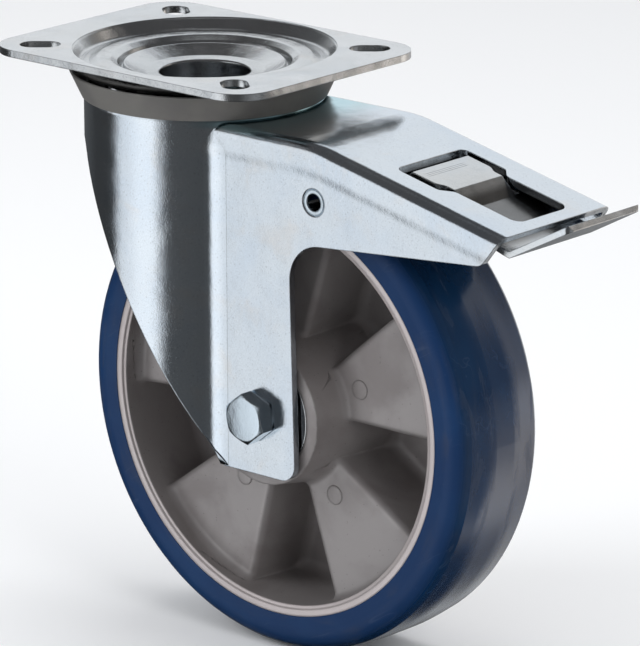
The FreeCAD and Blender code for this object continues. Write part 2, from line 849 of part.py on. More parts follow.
def make_lever_plate():
    """Base plate of the lever: finger, arm, web, tread and pedal."""
    side = new_body("lever_side", export=False)
    pad(side, "lever_strip", strip_section(LEVER_BENDS), "XZ_Plane", "fork_width", both=True)
    cheek = "fork_width / 2 - sheet - lever_gap"
    half = [
        ("pedal_end + 1", "pedal_end_width / 2", "pedal_round"),
        ("pedal_bend - 2", "pedal_root_width / 2", "pedal_round"),
        ("cheek_rear + 10", "pedal_root_width / 2", "3"),
        ("cheek_rear + 3", cheek, "3"),
        ("arm_flare_end", cheek, "4"),
        ("arm_flare_start", "arm_width / 2", "6"),
        ("finger_end", "arm_width / 2", "1.5"),
        ("finger_end", "finger_width / 2"),
        ("finger_tip - 1", "finger_width / 2"),
    ]
    plan = new_body("lever_plan", export=False)
    pad(plan, "lever_outline", mirrored_about_x(half), "XY_Plane", "70", "0 - 70")
    return shared("lever_plate", [side, plan])


def make_lever_pad():
    """Raised pad, pressed up out of the plate so that its face is level with the roof."""
    side = new_body("pad_side", export=False)
    low_left = lever_height("pad_foot_left", LEVER_BENDS[4], LEVER_BENDS[5])
    low_right = lever_height("pad_foot_right", LEVER_BENDS[5], LEVER_BENDS[6])
    bends = [
        ("pad_foot_left - 3", f"0 - ({lever_height('pad_foot_left - 3', LEVER_BENDS[4], LEVER_BENDS[5])})"),
        ("pad_foot_left", f"0 - ({low_left})"),
        ("pad_left", f"0 - ({pad_top('pad_left')})"),
        ("pad_right", f"0 - ({pad_top('pad_right')})"),
        ("pad_foot_right", f"0 - ({low_right})"),
        ("pad_foot_right + 3", f"0 - ({lever_height('pad_foot_right + 3', LEVER_BENDS[5], LEVER_BENDS[6])})"),
    ]
    pad(side, "pad_strip", strip_section(bends), "XZ_Plane", "fork_width", both=True)
    half = [
        ("pad_foot_right + 2.5", "pad_neck_width / 2"),
        ("pad_neck", "pad_neck_width / 2", "4"),
        ("pad_shoulder", "pad_head_width / 2", "4"),
        ("pad_foot_left - 2.5", "pad_head_width / 2"),
    ]
    plan = new_body("pad_plan", export=False)
    pad(plan, "pad_outline", mirrored_about_x(half), "XY_Plane", "70", "0 - 70")
    return shared("lever_pad", [side, plan])


def make_pad_slot():
    """What the raised pad leaves open in the plate, and the slits along its sides."""
    body = new_body("pad_slot", export=False)
    half = [
        ("pad_foot_right - 0.5", "pad_head_width / 2 + pad_relief"),
        ("pad_foot_left + 0.5", "pad_head_width / 2 + pad_relief"),
    ]
    pad(body, "slot_outline", mirrored_about_x(half), "XY_Plane", "70", "0 - 70")
    return body


def make_cheeks():
    """Side walls of the lever, with an eye each for the pivot."""
    outer = "fork_width / 2 - sheet - lever_gap"
    body = new_body("cheek_pair", export=False)
    under = "lever_thick / 2"
    corners = [
        ("pivot_place - cheek_low - 2", "0 - arm_top - " + under),
        ("pivot_place - cheek_low", "0 - pivot_drop - cheek_low", "cheek_low - 1"),
        ("pivot_place + cheek_low", "0 - pivot_drop - cheek_low", "cheek_low - 1"),
        ("cheek_rear", f"0 - tread_top - cheek_rear_depth", "2"),
        ("cheek_rear", f"{lever_height('cheek_rear', LEVER_BENDS[5], LEVER_BENDS[6])} - {under}"),
        ("tread_place", f"0 - tread_top - {under}"),
        ("ramp_place", f"0 - ramp_top - {under}"),
        ("web_bend", f"0 - arm_top - {under}"),
    ]
    pad(body, "cheek_near", corners, "XZ_Plane", "lever_thick", f"{outer} - lever_thick")
    far = new_body("cheek_far_pair", export=False)
    pad(far, "cheek_far", corners, "XZ_Plane", "lever_thick", f"0 - ({outer})")
    return [body, far]


def make_brake_lever():
    """One pressed piece: finger for the swivel lock, web over the wheel, raised pad, and pedal."""
    plate = taken_from("lever_slotted", make_lever_plate(), make_pad_slot())
    lever = joined("lever_blank", [plate, make_lever_pad(), *make_cheeks()])
    across = {"along_y": True, "y": "0 - fork_width / 2 - 1"}
    holes = [
        cylinder("lever_pivot_tool", "pivot_radius + seat_gap", "fork_width + 2",
                 "pivot_place", z="0 - pivot_drop", **across)
    ]
    for side, sign in (("near", -1), ("far", 1)):
        holes.append(
            cylinder(f"lever_rivet_{side}", "shoe_rivet_radius", "40",
                     "shoe_rivet_place", f"{sign} * shoe_rivet_across / 2", "0 - 70")
        )
    taken_from("brake_lever", lever, joined("lever_holes", holes), export=True)


def shoe_seat(x):
    """Height of the lever's underside over the brake shoe."""
    return lever_height(x, LEVER_BENDS[3], LEVER_BENDS[4], under=True)


def make_brake_shoe():
    """Block under the lever, hollowed so that it meets the whole tread once the pedal is down."""
    block = new_body("shoe_block", export=False)
    corners = [
        ("shoe_start", shoe_seat("shoe_start")),
        ("shoe_end", shoe_seat("shoe_end")),
        ("shoe_end", "0 - pivot_drop - 20"),
        ("shoe_start", "0 - pivot_drop - 20"),
    ]
    pad(block, "shoe_blank", corners, "XZ_Plane", "shoe_width", both=True)
    run = "(axle_offset - pivot_place)"
    fall = "(pivot_drop - axle_drop)"
    x = f"pivot_place + {run} * cos(brake_turn) - {fall} * sin(brake_turn)"
    z = f"0 - pivot_drop + {run} * sin(brake_turn) + {fall} * cos(brake_turn)"
    tools = [
        cylinder("shoe_tread_tool", "wheel_radius + shoe_gap", "shoe_width + 2",
                 x, "0 - shoe_width / 2 - 1", z, along_y=True)
    ]
    for side, sign in (("near", -1), ("far", 1)):
        tools.append(
            cylinder(f"shoe_rivet_{side}", "shoe_rivet_radius", "40 + shoe_rivet_depth", "shoe_rivet_place",
                     f"{sign} * shoe_rivet_across / 2",
                     f"{shoe_seat('shoe_rivet_place')} - shoe_rivet_depth")
        )
    taken_from("brake_shoe", block, joined("shoe_tools", tools), export=True)


def make_shoe_rivets():
    """Two rivets that hold the shoe to the lever."""
    body = new_body("shoe_rivets")
    top = lever_height("shoe_rivet_place", LEVER_BENDS[3], LEVER_BENDS[4])
    low = f"{shoe_seat('shoe_rivet_place')} - shoe_rivet_depth"
    rise = "shoe_rivet_rise + 0.4"
    section = [
        ("0", low),
        ("shoe_rivet_radius", low),
        ("shoe_rivet_radius", f"{top} + 0.35"),
        ("shoe_rivet_head", f"{top} + 0.35"),
        ("shoe_rivet_head", f"{top} + {rise}", "1"),
        ("0", f"{top} + {rise}"),
    ]
    make = revolve(body, "rivet", section)
    place(body, "shoe_rivet_place", "0 - shoe_rivet_across / 2", "0")
    other = new_sketch(body, "other_place", "XZ_Plane", "0 - shoe_rivet_across")
    draw_outline(other, section)
    second = body.newObject("PartDesign::Revolution", "rivet_far")
    second.Profile = other
    second.ReferenceAxis = (other, ["V_Axis"])
    assert make is not None


def make_pivot_rivets():
    """Two short hollow rivets that carry the lever, one in each side of the housing."""
    body = new_body("pivot_rivets")
    face = "fork_width / 2 - 0.15"
    shoulder = "fork_width / 2 - sheet - lever_gap - lever_thick - 0.2"
    section = [
        ("pivot_bore", f"0 - ({face})", "0.6"),
        ("pivot_radius", f"0 - ({face})", "0.5"),
        ("pivot_radius", f"0 - ({shoulder})"),
        ("pivot_head_radius", f"0 - ({shoulder})"),
        ("pivot_head_radius", f"0 - ({shoulder} - pivot_head_thick)", "0.4"),
        ("pivot_bore", f"0 - ({shoulder} - pivot_head_thick)"),
    ]
    rivet = revolve(body, "pivot_rivet", section)
    mirror_across(body, "pivot_rivet_pair", [rivet], "XY_Plane")
    place_on_axle(body, "pivot_place", "0 - pivot_drop")


def make_brake_spring():
    """Leaf spring welded under the roof, whose toe bears on the lever by its pivot."""
    body = new_body("brake_spring")
    roof = "0 - roof_drop - sheet"
    toe = f"{lever_height('spring_toe', LEVER_BENDS[3], LEVER_BENDS[4])} + running_gap"
    corners = [
        ("spring_start", roof),
        ("spring_bend", roof, "6"),
        ("spring_toe", f"{toe} + spring_thick", "2"),
        ("spring_end", f"{toe} + spring_thick + spring_lift"),
        ("spring_end - 0.3", f"{toe} + spring_lift"),
        ("spring_toe", f"{toe}", "1"),
        ("spring_bend - 0.2", f"{roof} - spring_thick", "5"),
        ("spring_start", f"{roof} - spring_thick"),
    ]
    pad(body, "leaf", corners, "XZ_Plane", "spring_width", both=True)


# Wheel


def make_wheel_centre():
    """Die-cast centre: hub, five broad spokes with deep pockets between them on each face, and rim."""
    body = new_body("wheel_centre")
    web, hub, rim = "web_width / 2", "hub_width / 2", "rim_width / 2"
    seat = "hub_width / 2 - bearing_width"
    upper = [
        ("hub_bore", seat),
        ("bearing_outside / 2", seat),
        ("bearing_outside / 2", hub),
        ("hub_radius", hub, "0.8"),
        ("hub_foot", web, "5"),
        ("rim_inside", web, "4"),
        ("rim_radius - rim_land", rim),
        ("rim_radius", rim),
    ]
    revolve(body, "centre_casting", mirrored_about_x(upper))
    for face, sign in (("near", -1), ("far", 1)):
        sections = []
        stations = (
            ("start", "pocket_start", "pocket_depth_start"),
            ("deepest", "pocket_deepest", "pocket_depth"),
            ("end", "pocket_end", "pocket_depth_end"),
        )
        for station, distance, depth in stations:
            name = f"pocket_{face}_{station}"
            sketch = new_sketch(body, name, "YZ_Plane", f"{-sign} * {distance}")
            spread = f"({distance} * tan(pocket_half_turn))"
            over = f"({spread} + ({spread} - pocket_floor / 2) / {depth})"
            half = [
                (over, f"{sign} * (web_width / 2 + 1)"),
                ("pocket_floor / 2", f"{sign} * (web_width / 2 - {depth})"),
            ]
            corners = half + [(f"0 - ({x})", y) for x, y in reversed(half)]
            draw_outline(sketch, corners)
            sections.append(sketch)
        loft = body.newObject("PartDesign::SubtractiveLoft", f"pocket_{face}")
        loft.Profile = sections[0]
        loft.Sections = sections[1:]
        loft.Ruled = True
        pattern_round(body, f"pockets_{face}", loft, "spoke_count")
    place_on_axle(body, turn="spoke_phase")


def make_tyre():
    """Cast tyre with rounded shoulders and a slightly crowned tread."""
    body = new_body("tyre")
    upper = [
        ("rim_radius", "rim_width / 2"),
        ("wheel_radius - 5", "wheel_width / 2", "shoulder_round"),
        ("tread_edge_radius", "tread_edge_width / 2"),
        ("wheel_radius", "tread_flat / 2", "60"),
    ]
    corners = upper + [(c[0], f"0 - ({c[1]})", *c[2:]) for c in reversed(upper)]
    revolve(body, "tread", corners)
    place_on_axle(body)


# Wheel bearings


def make_bearing_pair(label, section, track=None):
    """A ring that both bearings have: made at the near side and mirrored."""
    body = new_body(label)
    made = [revolve(body, f"{label}_ring", section)]
    if track:
        made.append(ball_groove(body, f"{label}_track", *track))
    mirror_across(body, f"{label}_pair", made, "XY_Plane")
    place_on_axle(body)
    return body


def make_bearings():
    """Two sealed ball bearings, seated in the ends of the hub."""
    face, back = "0 - hub_width / 2", "0 - (hub_width / 2 - bearing_width)"
    middle = "0 - (hub_width / 2 - bearing_width / 2)"
    bore, outside = "bearing_bore / 2", "bearing_outside / 2"
    row = f"({bore} + {outside}) / 2"
    inner = [(bore, face), (f"{bore} + bearing_ring", face), (f"{bore} + bearing_ring", back), (bore, back)]
    outer = [(f"{outside} - bearing_ring", face), (outside, face, "0.6"), (outside, back, "0.6")]
    outer += [(f"{outside} - bearing_ring", back)]
    make_bearing_pair("bearing_inner_rings", inner, (row, middle, "bearing_ball / 2 + seat_gap"))
    make_bearing_pair("bearing_outer_rings", outer, (row, middle, "bearing_ball / 2 + running_gap"))
    body = new_body("bearing_seals")
    inside = f"{bore} + bearing_ring + running_gap"
    rings = []
    for name, top in (("face", f"{face} + 1.4"), ("back", f"{back} - 0.4")):
        low = f"{top} - bearing_seal"
        corners = [(inside, low), (f"{outside} - bearing_ring", low)]
        corners += [(f"{outside} - bearing_ring", top), (inside, top)]
        rings.append(revolve(body, f"seal_{name}", corners))
    mirror_across(body, "seal_pairs", rings, "XY_Plane")
    place_on_axle(body)
    for name, sign in (("near", -1), ("far", 1)):
        height = f"{sign} * (hub_width / 2 - bearing_width / 2)"
        balls = ball_row(f"bearing_balls_{name}", row, height, "bearing_ball", "bearing_count")
        place_on_axle(balls)


def turned_on_axle(label, corners, mirrored=False):
    """A plain turned piece on the axle."""
    body = new_body(label)
    piece = revolve(body, f"{label}_turned", corners)
    if mirrored:
        mirror_across(body, f"{label}_pair", [piece], "XY_Plane")
    place_on_axle(body)
    return body


def box_section(inner, outer, low, top):
    """Section of a plain ring."""
    return [(inner, low), (outer, low), (outer, top), (inner, top)]


def make_axle():
    """Tube, sleeve, washers, bolt and lock nut."""
    leg_inside = "fork_width / 2 - sheet"
    bore = "bearing_bore / 2"
    turned_on_axle("axle_tube", box_section("tube_bore / 2", bore, f"0 - ({leg_inside})", leg_inside))
    sleeve_end = "hub_width / 2 - bearing_width"
    sleeve = box_section(f"{bore} + seat_gap", "sleeve_outside / 2", f"0 - ({sleeve_end})", sleeve_end)
    turned_on_axle("spacer_sleeve", sleeve)
    washer = box_section(f"{bore} + seat_gap", "washer_outside / 2", f"0 - ({leg_inside})", "0 - hub_width / 2")
    turned_on_axle("axle_washers", washer, mirrored=True)
    make_axle_bolt()
    make_lock_nut()


def chamfer_section(flats, outer_z, inner_z):
    """Half section of what turning takes off the corners of a hexagon at one end."""
    reach = f"({flats} / 2 / cos(30) + 1)"
    start = f"({flats} / 2 - 0.3)"
    return [(start, outer_z), (reach, outer_z), (reach, inner_z)]


def make_axle_bolt():
    """Hexagon bolt through both legs and the tube."""
    body = new_body("axle_bolt")
    leg = "fork_width / 2"
    top = f"0 - {leg} - bolt_head"
    pad(body, "bolt_hexagon", hexagon("bolt_flats", "bolt_turn"), "XY_Plane", "bolt_head", top)
    groove(body, "bolt_hexagon_edge", chamfer_section("bolt_flats", top, f"{top} + hex_chamfer"))
    length = f"2 * ({leg}) + nut_height + nut_collar + bolt_end"
    pad_circle(body, "bolt_shank", "bolt_size / 2", length, f"0 - {leg}")
    place_on_axle(body)


def make_lock_nut():
    """Hexagon nut with a collar, on the far leg."""
    body = new_body("lock_nut")
    leg = "fork_width / 2"
    pad(body, "nut_hexagon", hexagon("bolt_flats", "bolt_turn + 12"), "XY_Plane", "nut_height", leg)
    top = f"{leg} + nut_height"
    groove(body, "nut_hexagon_edge", chamfer_section("bolt_flats", top, f"{top} - hex_chamfer"))
    collar = [
        ("bolt_size / 2", f"{top} - 0.5"),
        ("bolt_flats / 2 - 0.9", f"{top} - 0.5"),
        ("bolt_flats / 2 - 0.9", f"{top} + nut_collar", "1.4"),
        ("bolt_size / 2", f"{top} + nut_collar"),
    ]
    revolve(body, "nut_collar_turned", collar)
    hole = new_sketch(body, "nut_hole_sketch", "XY_Plane")
    draw_circle(hole, "0", "0", "bolt_size / 2")
    cut_through(body, "nut_hole", hole)
    place_on_axle(body)


def write_sub_parts():
    """Check every object, then write one file for each sub-part."""
    doc.recompute()
    for item in doc.Objects:
        if {"Invalid", "Error"} & set(item.State):
            raise RuntimeError(f"{item.Label} has state {item.State}")
    os.makedirs("parts", exist_ok=True)
    for item in SUB_PARTS:
        if item.Shape.isNull() or not item.Shape.isValid():
            raise RuntimeError(f"{item.Label} has no valid shape")
        item.Shape.exportStep(f"parts/{item.Label}.step")


make_top_plate()
make_king_pin()
make_lock_ring()
ball_row("upper_balls", "upper_row_radius", UPPER_BALL_HEIGHT, "upper_ball", "upper_count")
ball_row("lower_balls", "lower_row_radius", LOWER_BALL_HEIGHT, "lower_ball", "lower_count")
make_dust_seal()
make_fork()
make_brake_lever()
make_brake_shoe()
make_shoe_rivets()
make_pivot_rivets()
make_brake_spring()
make_wheel_centre()
make_tyre()
make_bearings()
make_axle()
write_sub_parts()
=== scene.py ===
# %% [markdown]
# # A swivel castor with a total brake
#
# The castor comes as a imported CAD model: each piece already has its true shape and place,
# in metres. This lesson dresses it. It sets up the camera and the light, makes the finishes
# as node trees, and adds the small forms that a maker adds last.

# %% Load the castor
import json
import math

import bmesh
import bpy
import numpy as np
from mathutils import Matrix, Vector


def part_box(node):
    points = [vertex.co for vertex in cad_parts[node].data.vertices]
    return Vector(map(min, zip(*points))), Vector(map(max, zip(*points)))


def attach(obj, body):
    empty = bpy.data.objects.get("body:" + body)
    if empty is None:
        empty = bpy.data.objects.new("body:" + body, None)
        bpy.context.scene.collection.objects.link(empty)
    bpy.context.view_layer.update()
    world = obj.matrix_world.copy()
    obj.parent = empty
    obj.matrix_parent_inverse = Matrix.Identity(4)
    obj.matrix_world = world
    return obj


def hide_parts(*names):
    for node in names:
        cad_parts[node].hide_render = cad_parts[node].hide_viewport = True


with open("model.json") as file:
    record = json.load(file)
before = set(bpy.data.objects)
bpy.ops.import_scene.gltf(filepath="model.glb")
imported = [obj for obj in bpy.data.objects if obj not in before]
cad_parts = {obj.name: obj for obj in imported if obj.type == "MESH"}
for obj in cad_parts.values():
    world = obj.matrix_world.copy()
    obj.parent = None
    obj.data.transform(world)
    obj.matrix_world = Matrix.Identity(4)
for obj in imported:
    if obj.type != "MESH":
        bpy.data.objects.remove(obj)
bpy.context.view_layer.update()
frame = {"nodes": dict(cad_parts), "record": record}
nodes = frame["nodes"]
print("pieces from the CAD model:", ", ".join(sorted(nodes)))

# %% [markdown]
# ## The camera
#
# A long lens flattens a picture, as in a catalogue. The place of the camera was worked out
# from the wheel's circle and the plate's corners: it stands a little over two metres away,
# between the castor's near side and its pedal, and looks down on it a little. Azimuth is
# the turn around the castor, and elevation the height of the view. Roll, pan and tilt are
# the small turns of the camera on its stand. A camera could also be aimed with a tracking
# constraint, but a matrix worked out once says the same and needs nothing else.

# %% Camera
AXLE = np.array([0.0565, 0.0, -0.135])
VIEW_AZIMUTH = math.radians(41.460)
VIEW_ELEVATION = math.radians(16.943)
VIEW_DISTANCE = 2.16176
VIEW_ROLL = math.radians(0.247)
VIEW_PAN = math.radians(0.0853)
VIEW_TILT = math.radians(-0.781)
FOCAL_PIXELS = 5413.3
PICTURE_HEIGHT = 646
SENSOR = 36.0


def turn(angle, axis):
    """A 3 x 3 turn about X (0), Y (1) or Z (2)."""
    c, s = math.cos(angle), math.sin(angle)
    matrices = (
        [[1, 0, 0], [0, c, -s], [0, s, c]],
        [[c, 0, s], [0, 1, 0], [-s, 0, c]],
        [[c, -s, 0], [s, c, 0], [0, 0, 1]],
    )
    return np.array(matrices[axis])


def camera_axes():
    """The camera's right, up and back directions, one in each row."""
    back = np.array([
        math.sin(VIEW_AZIMUTH) * math.cos(VIEW_ELEVATION),
        -math.cos(VIEW_AZIMUTH) * math.cos(VIEW_ELEVATION),
        math.sin(VIEW_ELEVATION),
    ])
    right = np.cross([0, 0, 1], back)
    right /= np.linalg.norm(right)
    upright = np.array([right, np.cross(back, right), back])
    return turn(VIEW_ROLL, 2) @ turn(VIEW_TILT, 0) @ turn(VIEW_PAN, 1) @ upright, back


axes, towards_camera = camera_axes()
camera_data = bpy.data.cameras.new("camera")
camera_data.sensor_fit = "VERTICAL"
camera_data.sensor_height = SENSOR
camera_data.lens = FOCAL_PIXELS / PICTURE_HEIGHT * SENSOR
camera_data.clip_end = 50
camera = bpy.data.objects.new("camera", camera_data)
bpy.context.scene.collection.objects.link(camera)
pose = np.eye(4)
pose[:3, :3] = axes.T
pose[:3, 3] = AXLE + towards_camera * VIEW_DISTANCE
camera.matrix_world = Matrix(pose.tolist())
bpy.context.scene.camera = camera
print("lens:", round(camera_data.lens, 1), "mm")

# %% [markdown]
# ## Building node trees in code
#
# A finish is a tree of small nodes, and a few helpers keep the trees short to write. The
# first adds a node and fills or links its sockets. Most others are the steps that come up
# again and again: arithmetic, spreading a range, noise, and one colour over another. The
# last two make and use a node group with named sockets, so that an effect such as edge
# wear is built once and used in many finishes.

# %% Node helpers
def add(tree, kind, inputs=None, **settings):
    """Adds one shader node. Settings are its options, and inputs its sockets' values or links."""
    made = tree.nodes.new("ShaderNode" + kind)
    for name, value in settings.items():
        setattr(made, name, value)
    for key, value in (inputs or {}).items():
        if isinstance(value, bpy.types.NodeSocket):
            tree.links.new(value, made.inputs[key])
        else:
            made.inputs[key].default_value = value
    return made


def calc(tree, operation, *numbers):
    """One step of arithmetic on one, two or three numbers."""
    return add(tree, "Math", dict(enumerate(numbers)), operation=operation).outputs[0]


def times(tree, first, *others):
    """The product of two or more numbers."""
    for other in others:
        first = calc(tree, "MULTIPLY", first, other)
    return first


def spread(tree, value, low, high, to_low=0.0, to_high=1.0, smooth=True):
    """Maps low..high to to_low..to_high, with soft ends where smooth is set."""
    kind = "SMOOTHSTEP" if smooth else "LINEAR"
    inputs = {"Value": value, "From Min": low, "From Max": high, "To Min": to_low, "To Max": to_high}
    return add(tree, "MapRange", inputs, interpolation_type=kind).outputs[0]


def noise(tree, place, scale, detail=3.0, rough=0.5):
    """Grey noise from 0 to 1, whose largest lumps are about a metre divided by its scale."""
    inputs = {"Vector": place, "Scale": scale, "Detail": detail, "Roughness": rough}
    return add(tree, "TexNoise", inputs).outputs["Fac"]


def blend(tree, share, first, second):
    """Mixes two colours by a share from 0 to 1."""
    made = add(tree, "Mix", {0: share}, data_type="RGBA")
    for index, colour in ((6, first), (7, second)):
        if isinstance(colour, bpy.types.NodeSocket):
            tree.links.new(colour, made.inputs[index])
        else:
            made.inputs[index].default_value = (*colour, 1.0)
    return made.outputs[2]


def coats(tree, tone, *layers):
    """Lays colours over a tone one after another, each (mask, how well it covers, colour)."""
    for mask, cover, colour in layers:
        tone = blend(tree, times(tree, mask, cover), tone, colour)
    return tone


def new_group(name, inputs, outputs):
    """An empty node group. Inputs are (name, kind, value) and outputs (name, kind)."""
    group = bpy.data.node_groups.new(name, "ShaderNodeTree")
    for title, kind, value in inputs:
        socket = group.interface.new_socket(name=title, in_out="INPUT", socket_type="NodeSocket" + kind)
        if value is not None:
            socket.default_value = value
    for title, kind in outputs:
        group.interface.new_socket(name=title, in_out="OUTPUT", socket_type="NodeSocket" + kind)
    start = group.nodes.new("NodeGroupInput")
    end = group.nodes.new("NodeGroupOutput")
    return group, start.outputs, end.inputs


def use_group(tree, group, **inputs):
    """Places a group in a tree, fills or links its inputs and gives back its outputs."""
    return add(tree, "Group", inputs, node_tree=group).outputs


# %% [markdown]
# ## Shared effects
#
# Plated steel, cast metal and rubber all differ from a plain colour in a few ways that
# repeat: cloudy patches, fine scratches, small spots, edges that are rubbed bright, and
# painted shade in hollows. Each of these is one group. All but the painted shade read the
# object's own coordinates in metres, so a pattern has its real size and stays on the piece when it
# moves.

# %% Effect: cloudy patches
clouds, given, result = new_group(
    "cloudy patches",
    [("Vector", "Vector", None), ("Scale", "Float", 40.0), ("Low", "Float", 0.4),
     ("High", "Float", 0.65)],
    [("Mask", "Float")],
)
cloudy = add(clouds, "TexNoise", {"Vector": given["Vector"], "Scale": given["Scale"], "Detail": 4.0,
                                  "Roughness": 0.55, "Distortion": 0.4})
clouds.links.new(spread(clouds, cloudy.outputs["Fac"], given["Low"], given["High"]), result["Mask"])

# %% Effect: fine scratches
# A scratch is a thin contour line of a noise that is stretched a lot one way.
scratches, given, result = new_group(
    "fine scratches",
    [("Vector", "Vector", None), ("Turn", "Vector", (0.0, 0.0, 0.0)), ("Scale", "Float", 60.0),
     ("Stretch", "Float", 0.06), ("Width", "Float", 0.012), ("Share", "Float", 0.5)],
    [("Mask", "Float")],
)
turned = add(scratches, "VectorRotate", {"Vector": given["Vector"], "Rotation": given["Turn"]},
             rotation_type="EULER_XYZ")
parts = add(scratches, "SeparateXYZ", {"Vector": turned.outputs[0]})
stretched = add(scratches, "CombineXYZ", {
    "X": times(scratches, parts.outputs[0], given["Stretch"]),
    "Y": parts.outputs[1],
    "Z": parts.outputs[2],
})
lines = noise(scratches, stretched.outputs[0], given["Scale"], 2.5, 0.6)
off_line = calc(scratches, "ABSOLUTE", calc(scratches, "SUBTRACT", lines, 0.5))
thin = spread(scratches, off_line, given["Width"], 0.0)
where = noise(scratches, given["Vector"], 45.0, 2.0)
shown = spread(scratches, where, given["Share"], calc(scratches, "ADD", given["Share"], 0.12))
scratches.links.new(times(scratches, thin, shown), result["Mask"])

# %% Effect: small spots
# A spot is the middle of a Voronoi cell, and a lot drawn for each cell says whether it shows.
JITTER = 0.0012
speckle, given, result = new_group(
    "small spots",
    [("Vector", "Vector", None), ("Scale", "Float", 400.0), ("Size", "Float", 0.3),
     ("Share", "Float", 0.5)],
    [("Mask", "Float")],
)
bent = add(speckle, "TexNoise", {"Vector": given["Vector"], "Scale": given["Scale"], "Detail": 1.0})
jitter = add(speckle, "VectorMath", {0: bent.outputs["Color"], 1: (JITTER,) * 3}, operation="MULTIPLY")
moved = add(speckle, "VectorMath", {0: given["Vector"], 1: jitter.outputs[0]}, operation="ADD")
cells = add(speckle, "TexVoronoi", {"Vector": moved.outputs[0], "Scale": given["Scale"]})
dot = spread(speckle, cells.outputs["Distance"], given["Size"], times(speckle, given["Size"], 0.4))
lot = add(speckle, "SeparateColor", {"Color": cells.outputs["Color"]})
chosen = calc(speckle, "LESS_THAN", lot.outputs[0], given["Share"])
speckle.links.new(times(speckle, dot, chosen), result["Mask"])

# %% Effect: rubbed edges
# An edge is where the rounded normal of the bevel node leaves the true normal of the face.
rubbed, given, result = new_group(
    "rubbed edges",
    [("Vector", "Vector", None), ("Radius", "Float", 0.0008), ("Amount", "Float", 1.0)],
    [("Mask", "Float"), ("Normal", "Vector")],
)
softened = add(rubbed, "Bevel", {"Radius": given["Radius"]}, samples=6)
flat = add(rubbed, "NewGeometry")
normals = {0: softened.outputs[0], 1: flat.outputs["Normal"]}
along = add(rubbed, "VectorMath", normals, operation="DOT_PRODUCT").outputs["Value"]
edge = spread(rubbed, along, 0.995, 0.85)
broken = spread(rubbed, noise(rubbed, given["Vector"], 260.0), 0.38, 0.6)
rubbed.links.new(times(rubbed, edge, broken, given["Amount"]), result["Mask"])
rubbed.links.new(softened.outputs[0], result["Normal"])

# %% Effect: painted shade in hollows
# Painted shade: the mask grows where little open sky is left within the given distance.
shade_in_hollows, given, result = new_group(
    "painted shade in hollows",
    [("Distance", "Float", 0.02), ("Low", "Float", 0.1), ("High", "Float", 0.9)],
    [("Mask", "Float")],
)
open_sky = add(shade_in_hollows, "AmbientOcclusion", {"Distance": given["Distance"]}, samples=8)
shade_in_hollows.links.new(spread(shade_in_hollows, open_sky.outputs["AO"], given["High"], given["Low"]), result["Mask"])

# %% Effect: place on the wheel
# Radius is the distance from the axle's line, and Side the distance from the wheel's middle plane.
on_wheel, given, result = new_group(
    "place on the wheel",
    [("Vector", "Vector", None)],
    [("Radius", "Float"), ("Side", "Float"), ("Angle", "Float")],
)
centred = add(on_wheel, "VectorMath", {0: given["Vector"], 1: tuple(AXLE)}, operation="SUBTRACT")
parts = add(on_wheel, "SeparateXYZ", {"Vector": centred.outputs[0]})
across = add(on_wheel, "CombineXYZ", {"X": parts.outputs[0], "Z": parts.outputs[2]})
length = add(on_wheel, "VectorMath", {0: across.outputs[0]}, operation="LENGTH")
on_wheel.links.new(length.outputs["Value"], result["Radius"])
on_wheel.links.new(calc(on_wheel, "ABSOLUTE", parts.outputs[1]), result["Side"])
on_wheel.links.new(calc(on_wheel, "ARCTAN2", parts.outputs[2], parts.outputs[0]), result["Angle"])
print("shared effects:", ", ".join(sorted(g.name for g in bpy.data.node_groups)))

# %% [markdown]
# ## Zinc-plated steel
#
# Blue zinc plate is thin, bright and a little milky. It is a metal, so its colour is the
# colour of its reflections: a cool white with faint straw and violet patches. Rolled steel
# under it keeps fine waves and drawing marks, which bend the reflections. The finish has a
# roughness that wanders, fine handling scratches, spots where the bath took less well, and
# a softened edge normal so that cut edges catch the light.

# %% Zinc-plated steel
def new_finish(name):
    """A material with an empty tree but for the surface shader, and the object's coordinates."""
    material = bpy.data.materials.new(name)
    material.use_nodes = True
    tree = material.node_tree
    surface = tree.nodes["Principled BSDF"]
    place = add(tree, "TexCoord").outputs["Object"]
    return material, tree, surface, place


def join_bumps(tree, normal, *layers):
    """A chain of bumps, each (height, depth in metres), on top of a given normal."""
    for height, depth in layers:
        inputs = {"Height": height, "Distance": depth, "Strength": 1.0, "Normal": normal}
        normal = add(tree, "Bump", inputs).outputs[0]
    return normal


